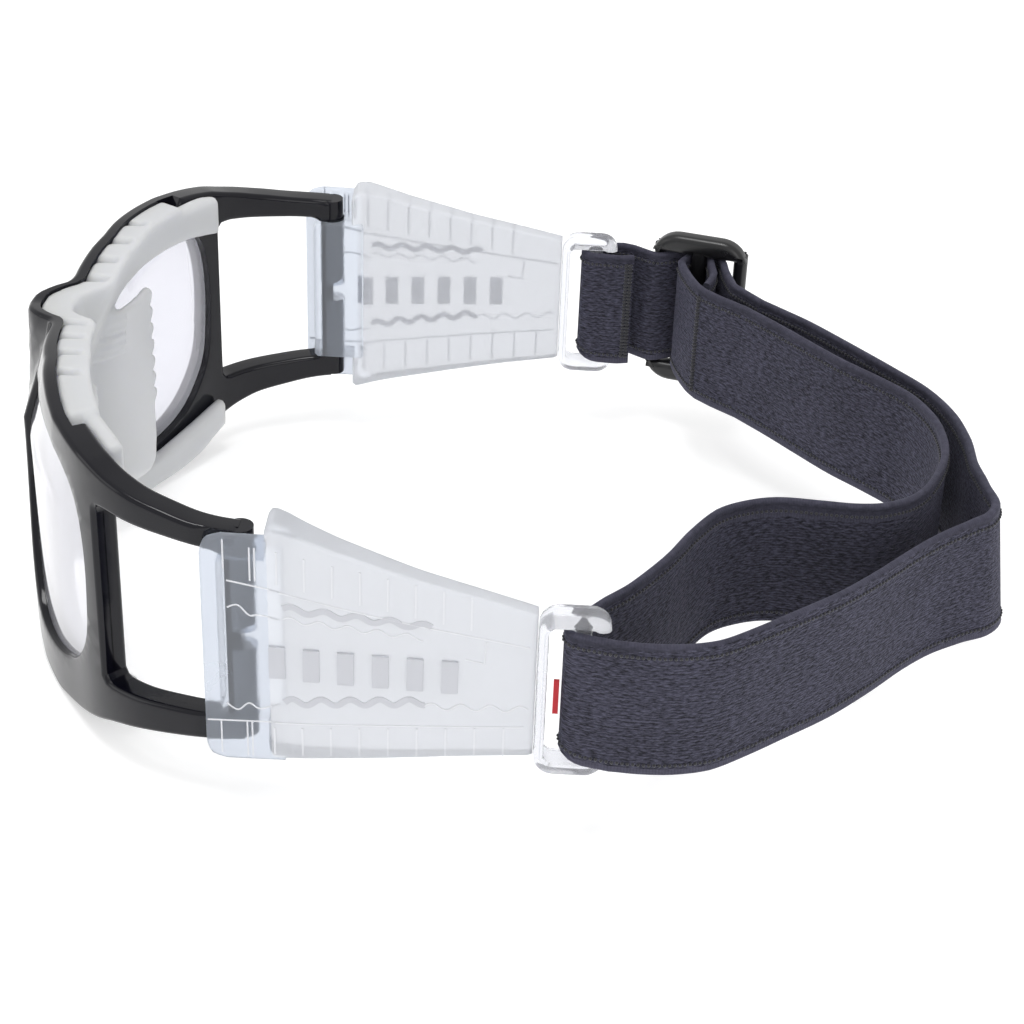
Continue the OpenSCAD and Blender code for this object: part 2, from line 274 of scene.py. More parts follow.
class Blank:
    """A growing set of points and faces, in millimetres."""

    def __init__(self) -> None:
        """Starts with nothing."""
        self.verts: list[tuple[float, float, float]] = []
        self.faces: list[tuple[int, ...]] = []

    def add(self, verts: Iterable[Sequence[float]], faces: Iterable[Sequence[int]]) -> None:
        """Adds points and the faces between them."""
        base = len(self.verts)
        self.verts += [tuple(float(c) for c in v) for v in verts]
        self.faces += [tuple(i + base for i in f) for f in faces]

    def join(self, other: "Blank") -> "Blank":
        """Takes in another blank's points and faces."""
        self.add(other.verts, other.faces)
        return self

    def moved(self, way: Callable[[np.ndarray], np.ndarray]) -> "Blank":
        """Passes every point through way, which takes and returns an (n, 3) array."""
        self.verts = [tuple(v) for v in way(np.array(self.verts, float))]
        return self

    def mirrored(self) -> "Blank":
        """A copy on the other side of the centre plane."""
        other = Blank()
        other.add([(-x, y, z) for x, y, z in self.verts], [f[::-1] for f in self.faces])
        return other

    def both(self) -> "Blank":
        """This blank with its mirrored copy."""
        return self.join(self.mirrored())

    def handed(self, side: Side) -> "Blank":
        """The blank, or its mirrored copy for the right side."""
        return self if side is Side.LEFT else self.mirrored()

    def object(self, name: str, sharp: float = 42.0) -> Thing:
        """Makes the object.

        Args:
            name: its name.
            sharp: the angle in degrees past which an edge stays crisp.

        Returns:
            The object.
        """
        obj = mesh_object(name, self.verts, self.faces)
        crisp(obj, sharp)
        return obj


def crisp(obj: Thing, angle: float) -> None:
    """Marks an object's edges sharper than angle degrees, and weights its normals."""
    bm = bmesh.new()
    bm.from_mesh(obj.data)
    for e in bm.edges:
        if len(e.link_faces) == 2:
            e.smooth = e.calc_face_angle(0) < math.radians(angle)
    bm.to_mesh(obj.data)
    bm.free()
    weight = obj.modifiers.new("Weight", "WEIGHTED_NORMAL")
    weight.keep_sharp = True
    weight.weight = 50


def wall_faces(rings: int, sides: int) -> list[tuple[int, ...]]:
    """The faces between neighbouring rings of points, each ring with so many sides."""
    faces = []
    for base in range(0, (rings - 1) * sides, sides):
        for k in range(sides):
            a, b = base + k, base + (k + 1) % sides
            faces.append((a, b, b + sides, a + sides))
    return faces


def end_faces(rings: int, sides: int) -> list[tuple[int, ...]]:
    """The two faces that cap the first and last ring."""
    return [tuple(range(sides)), tuple(range((rings - 1) * sides, rings * sides))]


def slab(
    outer: Line, rings: Rings, holes: Sequence[tuple[Line, Rings]] = (), pitch: float = 2.4
) -> Blank:
    """A plate with holes, whose walls follow a moulded profile.

    Args:
        outer: the closed outline.
        rings: (depth, inset) pairs for the outer wall, from the front to the back.
        holes: (outline, rings) of each hole; an inset there narrows the hole's material.
        pitch: the spacing of the points inside the front and back faces.

    Returns:
        The plate, with the outline in its first and third coordinates and depth second.
    """
    blank = Blank()
    walls = [(turned_left(outer), rings, 1.0)] + [(turned_left(h), r, -1.0) for h, r in holes]
    for line, profile, sense in walls:
        verts: list[Point] = []
        for depth, inset in profile:
            verts += [(x, depth, z) for x, z in grown(line, -inset * sense)]
        blank.add(verts, wall_faces(len(profile), len(line)))
    for end in (0, -1):
        depth = walls[0][1][end][0]
        loops = [grown(line, -profile[end][1] * sense) for line, profile, sense in walls]
        points, edges = [], []
        for loop in loops:
            base = len(points)
            points += loop
            edges += [(base + i, base + (i + 1) % len(loop)) for i in range(len(loop))]
        low, high = np.min(loops[0], 0), np.max(loops[0], 0)
        grid = np.array(
            [
                (x + (pitch / 2 if row % 2 else 0), z)
                for row, z in enumerate(np.arange(low[1] + pitch / 2, high[1], pitch * ROW_SHARE))
                for x in np.arange(low[0] + pitch / 2, high[0], pitch)
            ]
        ).reshape(-1, 2)
        rim = np.array(points, float)
        points += [
            tuple(g)
            for g in grid[in_plate(loops, grid)]
            if np.min(np.hypot(*(rim - g).T)) > pitch * RIM_SHARE
        ]
        made = delaunay_2d_cdt([Vector(p) for p in points], edges, [], 0, 1e-6)
        at, tris = np.array([tuple(v) for v in made[0]], float), np.array(made[2], int)
        good = in_plate(loops, at[tris].mean(1))
        blank.add([(x, depth, z) for x, z in at], [tuple(t) for t in tris[good]])
    return blank


def round_rings(front: float, back: float, edge: float, steps: int = 4) -> Line:
    """Rings of a wall with rounded edges at its front and back.

    Args:
        front: depth of the front face.
        back: depth of the back face.
        edge: radius of both edges.
        steps: pieces in each quarter turn.

    Returns:
        (depth, inset) pairs.
    """
    turn = [math.pi / 2 * k / steps for k in range(steps + 1)]
    head = [(front + edge * (1 - math.sin(a)), edge * (1 - math.cos(a))) for a in reversed(turn)]
    tail = [(back - edge * (1 - math.sin(a)), edge * (1 - math.cos(a))) for a in turn]
    return head + tail


def sweep(
    path: Sequence[Sequence[float]],
    ring: Sequence[tuple[float, float]],
    up: Optional[Vector] = None,
) -> Blank:
    """Carries a closed ring along a path.

    Args:
        path: the points the ring's middle follows.
        ring: the ring, across the path and along up.
        up: the direction that the ring's second coordinate keeps to.

    Returns:
        The swept blank, with capped ends.
    """
    up = up or Vector((0, 0, 1))
    p = [Vector(q) for q in path]
    n, m = len(p), len(ring)
    verts: list[Vector] = []
    for i in range(n):
        run = (p[min(i + 1, n - 1)] - p[max(i - 1, 0)]).normalized()
        side = run.cross(up)
        side = side.normalized() if side.length > 1e-6 else Vector((1, 0, 0))
        rise = side.cross(run).normalized()
        verts += [p[i] + side * u + rise * v for u, v in ring]
    blank = Blank()
    blank.add([tuple(v) for v in verts], wall_faces(n, m) + end_faces(n, m))
    return blank


def round_box_ring(width: float, height: float, radius: float, steps: int = 4) -> Line:
    """A rectangle with round corners, centred on zero, as a closed line."""
    out: Line = []
    for cx, cy, a0 in ((1, 1, 0), (-1, 1, 90), (-1, -1, 180), (1, -1, 270)):
        for k in range(steps + 1):
            a = math.radians(a0 + 90 * k / steps)
            out.append(
                (
                    cx * (width / 2 - radius) + radius * math.cos(a),
                    cy * (height / 2 - radius) + radius * math.sin(a),
                )
            )
    return out


def disc_ring(radius: float, sides: int = 20) -> Line:
    """A circle as a closed line."""
    return [
        (radius * math.cos(2 * math.pi * k / sides), radius * math.sin(2 * math.pi * k / sides))
        for k in range(sides)
    ]


def upright(x: float, y: float, low: float, high: float, radius: float, sides: int = 24) -> Blank:
    """A round upright bar at (x, y), from height low to height high."""
    return sweep([(x, y, low), (x, y, high)], disc_ring(radius, sides), up=Vector((0, 1, 0)))


# ---- the wrap ---------------------------------------------------------------------------


class Wrap:
    """The front's curve from above, measured along itself from the centre plane."""

    POINTS: Line = [
        (12, -87.1), (24, -84.1), (35, -79.2), (45, -73.2), (54, -67),
        (60.2, -59.8), (63.8, -51.5), (65.5, -45), (66, -37.5),
    ]
    LEAN: Line = [
        (0, 0.5), (3, 0.9), (5.5, 2.8), (7.5, 5.3), (10, 5.7), (14, 5.2), (20, 4.5), (25, 4.1),
        (30, 3), (36, 1.85), (44, 0.2), (48, 0),
    ]
    LEAN_Z: tuple[float, float] = (40, 57)

    def __init__(self) -> None:
        """Lays out the curve and its running length."""
        line = smooth(flipped(self.POINTS)[::-1] + [(0, -88)] + self.POINTS, 12)
        self.p = np.array(line, float)
        self.run = run_along(self.p)
        self.run -= self.run[-1] / 2
        tangent = np.gradient(self.p, self.run, axis=0)
        tangent /= np.linalg.norm(tangent, axis=1, keepdims=True)
        self.inward = np.stack([-tangent[:, 1], tangent[:, 0]], 1)

    def at_x(self, x: float) -> float:
        """The running length where the curve passes x."""
        return float(np.interp(x, self.p[:, 0], self.run))

    def at_y(self, y: float) -> float:
        """The running length on the left side where the curve passes y."""
        half = len(self.p) // 2
        return float(np.interp(y, self.p[half:, 1], self.run[half:]))

    def flat(self, seen: Line) -> Line:
        """Lays a line of (x, z) seen from the front out along the curve."""
        return [(self.at_x(x), z) for x, z in seen]

    def flat_side(self, seen: Line) -> Line:
        """Lays a line of (y, z) seen from the left out along the curve."""
        return [(self.at_y(y), z) for y, z in seen]

    def lean(self, x: np.ndarray, z: np.ndarray) -> np.ndarray:
        """How far the brow has leaned back where the curve passes x, at height z."""
        reach = np.interp(np.abs(x), *np.array(self.LEAN, float).T)
        return reach * np.maximum(z - self.LEAN_Z[0], 0) / (self.LEAN_Z[1] - self.LEAN_Z[0])

    def bend(self, v: np.ndarray) -> np.ndarray:
        """Bends points of (run, depth, height) round the curve, leaning the brow back."""
        at = [np.interp(v[:, 0], self.run, self.p[:, k]) for k in (0, 1)]
        n = [np.interp(v[:, 0], self.run, self.inward[:, k]) for k in (0, 1)]
        back = self.lean(at[0], v[:, 2])
        return np.stack([at[0] + n[0] * v[:, 1], at[1] + n[1] * v[:, 1] + back, v[:, 2]], 1)


WRAP = Wrap()

BROW: Line = [(0, 57.2), (9, 58.1), (20, 59.2), (31, 59.8), (42, 59.1), (50, 58.1), (55, 57.1)]
CHIN: Line = [(56.5, 7.4), (53, 5.4), (47, 2.7), (41, 0.9), (37, 0), (29, 0)]
NOSE: Line = [(25, 1.8), (21, 4.9), (15.5, 9.6), (11.5, 15), (8, 22), (4, 27.3), (0, 29)]
LENS_EDGE: Line = [
    (17, 53.5), (30, 54.5), (43, 53.6), (50.4, 49.8), (53, 42), (53.2, 30), (51.6, 19.5),
    (45.5, 11.2), (36, 7.8), (27, 8.4), (19.8, 14), (13.8, 24), (11, 36), (12, 48),
]
ARM_TOP: Line = [(-63, 56), (-58, 54.7), (-54, 53.9), (-50, 53.1), (-46, 52.6), (-40.5, 52.2)]
ARM_FOOT: Line = [(-40.5, 12.4), (-46, 11.7), (-52, 10.7), (-58, 9.6), (-62.4, 8.3)]


def lens_line(inset: float = 0.0) -> Line:
    """The left lens opening laid flat, narrowed by inset."""
    return WRAP.flat(grown(turned_left(smooth(LENS_EDGE, 6, True)), -inset))


# ---- materials --------------------------------------------------------------------------


class Nodes:
    """A node tree with short ways to add and join nodes."""

    def __init__(self, tree: bpy.types.NodeTree) -> None:
        """Takes the tree to build in."""
        self.tree = tree

    def add(self, kind: str, values: Optional[dict] = None, **settings: object) -> bpy.types.Node:
        """Adds a node.

        Args:
            kind: the node's type name.
            values: input name or place to a value or an output to join.
            settings: properties of the node.

        Returns:
            The node.
        """
        node = self.tree.nodes.new(kind)
        for key, value in settings.items():
            setattr(node, key, value)
        for key, value in (values or {}).items():
            if isinstance(value, Socket):
                self.tree.links.new(value, node.inputs[key])
            else:
                node.inputs[key].default_value = value
        return node

    def maths(self, operation: str, a: object, b: object = 0.0) -> Socket:
        """The result of one sum."""
        return self.add("ShaderNodeMath", {0: a, 1: b}, operation=operation).outputs[0]

    def plus(self, a: object, b: object) -> Socket:
        """a and b added."""
        return self.maths("ADD", a, b)

    def times(self, a: object, b: object) -> Socket:
        """a and b multiplied."""
        return self.maths("MULTIPLY", a, b)

    def swing(self, a: object, by: float) -> Socket:
        """A value's distance from a half, times by."""
        return self.times(self.maths("SUBTRACT", a, 0.5), by)

    def wave(self, a: object) -> Socket:
        """Half sine waves, one for each whole number of a."""
        return self.maths("ABSOLUTE", self.maths("SINE", self.times(a, math.pi)))

    def noise(self, where: object, scale: object, detail: float, rough: float = 0.5) -> Socket:
        """The value of a noise."""
        values = {"Vector": where, "Scale": scale, "Detail": detail, "Roughness": rough}
        return self.add("ShaderNodeTexNoise", values).outputs[0]

    def feed(self, node: bpy.types.Node, values: dict[str, Socket]) -> None:
        """Joins outputs to a node's inputs by name."""
        for key, value in values.items():
            self.tree.links.new(value, node.inputs[key])


def group(
    name: str, ins: dict[str, tuple[str, object]], outs: dict[str, str]
) -> tuple[Nodes, dict[str, Socket], bpy.types.Node]:
    """Starts a shader group.

    Args:
        name: the group's name.
        ins: input name to its socket type and first value.
        outs: output name to its socket type.

    Returns:
        The group's builder, its input sockets by name and its output node.
    """
    tree = bpy.data.node_groups.new(name, "ShaderNodeTree")
    for key, (kind, value) in ins.items():
        made = tree.interface.new_socket(key, in_out="INPUT", socket_type=kind)
        made.default_value = value
    for key, kind in outs.items():
        tree.interface.new_socket(key, in_out="OUTPUT", socket_type=kind)
    n = Nodes(tree)
    start = n.add("NodeGroupInput")
    end = n.add("NodeGroupOutput")
    return n, {s.name: s for s in start.outputs if s.name}, end


FLOAT, COLOUR = "NodeSocketFloat", "NodeSocketColor"
Sockets = tuple[tuple[str, object], ...]


def moulded_group() -> bpy.types.NodeTree:
    """Fine unevenness and handling haze of a moulded surface, as roughness and height."""
    n, i, out = group(
        "moulded_surface",
        {"Grain": (FLOAT, 900.0), "Smooth": (FLOAT, 0.1), "Haze": (FLOAT, 0.08)},
        {"Roughness": FLOAT, "Height": FLOAT},
    )
    where = n.add("ShaderNodeTexCoord").outputs["Object"]
    fine, broad = n.noise(where, i["Grain"], 4.0), n.noise(where, 60.0, 3.0)
    n.feed(out, {"Roughness": n.plus(i["Smooth"], n.times(broad, i["Haze"])), "Height": fine})
    return n.tree


def knit_group() -> bpy.types.NodeTree:
    """The band's knit: courses across its width, wales along it, and a worn tone.

    The band's own map holds millimetres along it and across it.
    """
    n, i, out = group(
        "elastic_knit",
        {
            "Dark": (COLOUR, (0.02, 0.02, 0.03, 1)),
            "Light": (COLOUR, (0.08, 0.08, 0.11, 1)),
            "Course": (FLOAT, 0.62),
            "Wale": (FLOAT, 0.9),
            "Dashes": (FLOAT, 2.6),
        },
        {"Color": COLOUR, "Height": FLOAT, "Roughness": FLOAT},
    )
    uv = n.add("ShaderNodeUVMap", uv_map="band_mm").outputs[0]
    part = n.add("ShaderNodeSeparateXYZ", {0: uv})
    along, across = part.outputs[0], part.outputs[1]
    row = n.maths("DIVIDE", n.plus(across, n.swing(n.noise(uv, 0.9, 3.0), 1.1)), i["Course"])
    stitch = n.maths("DIVIDE", along, i["Wale"])
    shift = n.times(n.maths("FLOOR", row), 0.5)
    loops = n.plus(n.times(n.wave(n.plus(stitch, shift)), 0.45), 0.55)
    fuzz = n.noise(uv, 3.4, 6.0, 0.7)
    long = n.add("ShaderNodeCombineXYZ", {0: n.times(along, 0.8), 1: n.times(across, 2.3)})
    dash = n.times(n.maths("SUBTRACT", n.noise(long.outputs[0], 1.0, 2.0), 0.5), i["Dashes"])
    height = n.plus(n.times(n.times(n.wave(row), loops), 0.5), n.times(fuzz, 0.5))
    height = n.plus(height, dash)
    tone = n.plus(height, n.swing(n.noise(uv, 0.11, 4.0), 0.5))
    ramp = n.add(
        "ShaderNodeMix",
        {"Factor": n.maths("SUBTRACT", tone, 0.05), 6: i["Dark"], 7: i["Light"]},
        data_type="RGBA",
        clamp_factor=True,
    )
    rough = n.plus(0.68, n.times(fuzz, 0.25))
    n.feed(out, {"Color": ramp.outputs[2], "Height": height, "Roughness": rough})
    return n.tree


def surfaced(
    name: str, surface: bpy.types.NodeTree, inputs: dict[str, object], bump: float, sockets: Sockets
) -> bpy.types.Material:
    """Builds a material with one Principled shader round a shader group.

    Args:
        name: the material's name.
        surface: the group that gives the roughness, the height and any colour.
        inputs: values of the group's inputs.
        bump: the depth of its height, in millimetres.
        sockets: values set on the shader.

    Returns:
        The material.
    """
    mat = bpy.data.materials.new(name)
    mat.use_nodes = True
    n = Nodes(mat.node_tree)
    shader = mat.node_tree.nodes["Principled BSDF"]
    skin = n.add("ShaderNodeGroup", node_tree=surface)
    for key, value in inputs.items():
        skin.inputs[key].default_value = value
    relief = n.add(
        "ShaderNodeBump",
        {"Height": skin.outputs["Height"], "Distance": bump * MM, "Strength": 1.0},
    )
    n.feed(shader, {"Roughness": skin.outputs["Roughness"], "Normal": relief.outputs[0]})
    if "Color" in skin.outputs.keys():
        n.feed(shader, {"Base Color": skin.outputs["Color"]})
    for key, value in sockets:
        shader.inputs[key].default_value = value
    return mat


@dataclass(frozen=True)
class Finish:
    """A surface finish made with one Principled shader.

    Attributes:
        name: the material's name.
        color: its base colour, linear.
        smooth: its least roughness.
        haze: how far handling roughens it.
        grain: the scale of its fine unevenness.
        bump: the height of that unevenness, in millimetres.
        sockets: other values set on the shader.
    """

    name: str
    color: tuple[float, float, float]
    smooth: float = 0.2
    haze: float = 0.1
    grain: float = 900.0
    bump: float = 0.01
    sockets: Sockets = ()

    def make(self, surface: bpy.types.NodeTree) -> bpy.types.Material:
        """Builds the material round the moulded surface group."""
        inputs = {"Grain": self.grain, "Smooth": self.smooth, "Haze": self.haze}
        sockets = (("Base Color", (*self.color, 1)), *self.sockets)
        return surfaced(self.name, surface, inputs, self.bump, sockets)


@dataclass(frozen=True)
class Knit:
    """A knitted elastic finish in two tones."""

    name: str
    dark: tuple[float, float, float]
    light: tuple[float, float, float]
    course: float = 0.62
    wale: float = 0.9
    bump: float = 0.2
    dashes: float = 2.6

    def make(self, knit: bpy.types.NodeTree) -> bpy.types.Material:
        """Builds the material round the knit group."""
        inputs = {
            "Dark": (*self.dark, 1),
            "Light": (*self.light, 1),
            "Course": self.course,
            "Wale": self.wale,
            "Dashes": self.dashes,
        }
        sockets = (
            ("Sheen Weight", 0.2),
            ("Sheen Roughness", 0.4),
            ("Sheen Tint", (0.45, 0.45, 0.62, 1)),
            ("Specular IOR Level", 0.25),
        )
        return surfaced(self.name, knit, inputs, self.bump, sockets)


def clear(weight: float, ior: float) -> Sockets:
    """Shader values of a plastic that lets light through."""
    return (("Transmission Weight", weight), ("IOR", ior))


def sheen(weight: float) -> Sockets:
    """Shader values of a cloth with a soft sheen."""
    return (("Sheen Weight", weight),)


class Finishes:
    """Every material of the goggles, by the part it is for."""

    def __init__(self) -> None:
        """Builds the shared groups and then the materials."""
        surface, knit = moulded_group(), knit_group()
        coat = (("Coat Weight", 1.0), ("Coat Roughness", 0.04), ("Coat IOR", 1.5))
        flesh = (
            ("Subsurface Weight", 0.6),
            ("Subsurface Radius", (0.006, 0.006, 0.007)),
            ("Subsurface Scale", 1.0),
        )
        moulded = (
            Finish("gloss_black", (0.003, 0.003, 0.006), 0.07, 0.10, 500, 0.006, (("IOR", 1.38),)),
            Finish(
                "clear_lens", (0.88, 0.88, 0.94), 0.05, 0.02, 300, 0.0, clear(0.72, 1.12) + coat
            ),
            Finish(
                "white_silicone", (0.64, 0.65, 0.665), 0.32, 0.16, 700, 0.02,
                flesh + clear(0.15, 1.41),
            ),
            Finish("frosted_clear", (0.76, 0.775, 0.81), 0.28, 0.16, 700, 0.02, clear(0.62, 1.3)),
            Finish("clear_flap", (0.70, 0.74, 0.81), 0.24, 0.10, 500, 0.008, clear(0.82, 1.12)),
            # This darker, less clear finish is painted shade for the temples' small recesses and
            # broad grooves.
            Finish("frosted_painted_shade", (0.70, 0.71, 0.75), 0.4, 0.1, 900, 0.02, clear(0.35, 1.2)),
            Finish("moulded_line", (0.88, 0.89, 0.92), 0.3, 0.1, 900, 0.01, clear(0.3, 1.2)),
            Finish("clear_plastic", (0.90, 0.91, 0.95), 0.12, 0.08, 500, 0.004, clear(0.86, 1.33)),
            Finish("satin_black", (0.008, 0.008, 0.009), 0.22, 0.14, 1100, 0.01, (("IOR", 1.5),)),
            Finish("red_tape", (0.50, 0.015, 0.025), 0.65, 0.1, 2200, 0.05, sheen(0.2)),
            Finish("dark_thread", (0.012, 0.012, 0.017), 0.6, 0.1, 2600, 0.05, sheen(0.3)),
        )
        (
            self.frame, self.lens, self.silicone, self.temple, self.flap, self.tile,
            self.line, self.buckle, self.slider, self.label, self.thread,
        ) = (finish.make(surface) for finish in moulded)
        web = Knit("dark_knit", (0.008, 0.008, 0.014), (0.070, 0.069, 0.104), 0.5, 1.1)
        rolled = Knit(
            "edge_knit", (0.012, 0.012, 0.020), (0.086, 0.084, 0.122), 5.0, 0.5, 0.12, 0.6
        )
        self.knit, self.piping = (knitted.make(knit) for knitted in (web, rolled))


def dress(obj: Thing, mat: bpy.types.Material) -> Thing:
    """Gives an object its material."""
    obj.data.materials.clear()
    obj.data.materials.append(mat)
    return obj


def placed(obj: Thing, body: Body, *nodes: str) -> Thing:
    """Puts an object on its body and hides the CAD nodes it stands for."""
    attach(obj, body.value)
    if nodes:
        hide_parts(*nodes)
    log.info("%s rides on %s", obj.name, body.value)
    return obj


# ---- the front --------------------------------------------------------------------------


@dataclass
class FrontFrame:
    """The one-piece wrap front with its arms and prongs."""

    thick: float = 4.8
    lip: float = 2.2
    lens_lip: float = 1.3
    lens_lip_w: float = 1.1
    edge: float = 0.9
    ledge_z: float = 55.3
    prong_r: float = 2.4
    window_front: float = 55.8
    window_rear: float = -43.0
    ledge_end: float = 45.9
    flap_front: float = -47.0
    flap_seat: float = 0.6
    flap_fade: float = 1.2

    def outline(self, ledge: bool) -> Line:
        """The whole front laid flat, with or without the brow's ledge cut away."""
        brow = smooth(BROW, 5)
        if ledge:
            brow = [(x, min(z, self.ledge_z)) if x < self.ledge_end else (x, z) for x, z in brow]
        left = (
            WRAP.flat(brow)
            + WRAP.flat_side(smooth(ARM_TOP, 4))
            + WRAP.flat_side(smooth(ARM_FOOT, 4))
            + WRAP.flat(smooth(CHIN, 5))
            + WRAP.flat(smooth(NOSE, 5))[1:]
        )
        return spaced(both_sides(left[:-1], left[:0:-1]), FINE, True)

    def window(self) -> Line:
        """The left side window laid flat."""
        front = WRAP.at_x(self.window_front)
        rear = WRAP.at_y(self.window_rear)
        corner = [
            (front, 16.4), (front + 0.5, 15.6), (front + 2, 15.4), (rear - 1.6, 16.9), (rear, 17.6),
            (rear, 47.4), (rear - 1.6, 48.4), (front + 3, 50.0), (front + 0.9, 49.8), (front, 48.8),
        ]
        return spaced(corner, FINE, True)

    def build(self, finishes: Finishes) -> Thing:
        """Makes the front as one piece."""
        lens = spaced(lens_line(), FINE, True)
        windows = [self.window(), flipped(self.window())]
        lenses = [lens, flipped(lens)]
        lip_w = self.lens_lip_w
        seat_lip = [
            (0.0, 0.55 - lip_w), (0.25, 0.18 - lip_w), (0.6, -lip_w),
            (self.lens_lip, -lip_w), (self.lens_lip + 0.02, 0.0), (self.lip, 0.0),
        ]
        seat_body = [
            (self.lip - 0.3, 0.0), (self.thick - 0.4, 0.0), (self.thick - 0.1, 0.1),
            (self.thick, 0.35),
        ]
        ring = round_rings(0.0, self.thick, self.edge)
        cut = [r for r in ring if r[0] <= self.lip] + [(self.lip, 0.0)]
        rest = [(self.lip - 0.3, 0.0)] + [r for r in ring if r[0] > self.lip]
        holes = [(h, seat_lip) for h in lenses] + [(w, cut) for w in windows]
        part = slab(self.outline(False), cut, holes)
        holes = [(h, seat_body) for h in lenses] + [(w, rest) for w in windows]
        part.join(slab(self.outline(True), rest, holes))
        part.moved(self.shaped).moved(WRAP.bend).join(self.prongs().both())
        obj = part.object("front_shell", 38)
        return placed(dress(obj, finishes.frame), Body.FRAME, "front_frame")

    def shaped(self, v: np.ndarray) -> np.ndarray:
        """Thins the arm ends where the temple's flap covers them."""
        rear = WRAP.at_y(self.flap_front)
        past = np.clip((np.abs(v[:, 0]) - rear) / self.flap_fade, 0, 1)
        v[:, 1] = np.where(past > 0, np.maximum(v[:, 1], self.flap_seat * past), v[:, 1])
        return v

    def prongs(self) -> Blank:
        """The left pair of prongs with their round roots."""
        blank = Blank()
        for profile in (
            [(12.9, 2.15), (17.2, 2.2), (17.2, self.prong_r), (29.2, self.prong_r), (30.2, 1.4)],
            [(52.1, 2.15), (48.2, 2.2), (48.2, self.prong_r), (34.8, self.prong_r), (33.8, 1.4)],
        ):
            verts = [
                (PRONG_AT[0] + a, PRONG_AT[1] + b, z)
                for z, r in profile
                for a, b in disc_ring(r, PRONG_SIDES)
            ]
            rings = len(profile)
            blank.add(verts, wall_faces(rings, PRONG_SIDES) + end_faces(rings, PRONG_SIDES))
        return blank


@dataclass
class Lenses:
    """The two clear lenses in their seats."""

    front: float = 1.35
    thick: float = 2.0
    edge: float = 0.25
    gap: float = 0.06

    def build(self, finishes: Finishes) -> None:
        """Makes both lenses."""
        for side in Side:
            line = spaced(lens_line(self.gap), FINE, True)
            line = line if side is Side.LEFT else flipped(line)
            rings = round_rings(self.front, self.front + self.thick, self.edge, 2)
            blank = slab(line, rings, pitch=1.8).moved(WRAP.bend)
            name = side.name.lower()
            obj = dress(blank.object(f"lens_clear_{name}", 30), finishes.lens)
            placed(obj, Body.FRAME, f"lens_{name}")


# ---- shaping helpers --------------------------------------------------------------------


def applied(obj: Thing) -> Thing:
    """Turns an object's modifiers into its plain mesh."""
    depsgraph = bpy.context.evaluated_depsgraph_get()
    mesh = bpy.data.meshes.new_from_object(
        obj.evaluated_get(depsgraph), preserve_all_data_layers=True, depsgraph=depsgraph
    )
    mesh.name = obj.name
    obj.modifiers.clear()
    obj.data = mesh
    return obj


def fused(obj: Thing, voxel: float, soften: int) -> Thing:
    """Melts an object's overlapping shells into one soft skin.

    Args:
        obj: the object.
        voxel: the size of the grid, in millimetres.
        soften: rounds of smoothing.

    Returns:
        The object, with its new mesh.
    """
    obj.modifiers.clear()
    melt = obj.modifiers.new("Melt", "REMESH")
    melt.mode = "VOXEL"
    melt.voxel_size = voxel * MM
    melt.use_smooth_shade = True
    soft = obj.modifiers.new("Soften", "SMOOTH")
    soft.factor = 0.5
    soft.iterations = soften
    return applied(obj)


def joined(base: Thing, adds: Sequence[Thing], cuts: Sequence[Thing]) -> Thing:
    """Unites solids with a base and then cuts others from it.

    Args:
        base: the solid kept.
        adds: solids united with it.
        cuts: solids cut from it.

    Returns:
        The base, with its new mesh.
    """
    base.modifiers.clear()
    for tools, operation in ((adds, "UNION"), (cuts, "DIFFERENCE")):
        for tool in tools:
            tool.modifiers.clear()
            step = base.modifiers.new(operation, "BOOLEAN")
            step.operation = operation
            step.object = tool
            step.solver = "EXACT"
            step.material_mode = "TRANSFER"
    applied(base)
    for tool in (*adds, *cuts):
        bpy.data.objects.remove(tool)
    for f in base.data.polygons:
        f.use_smooth = True
    return base


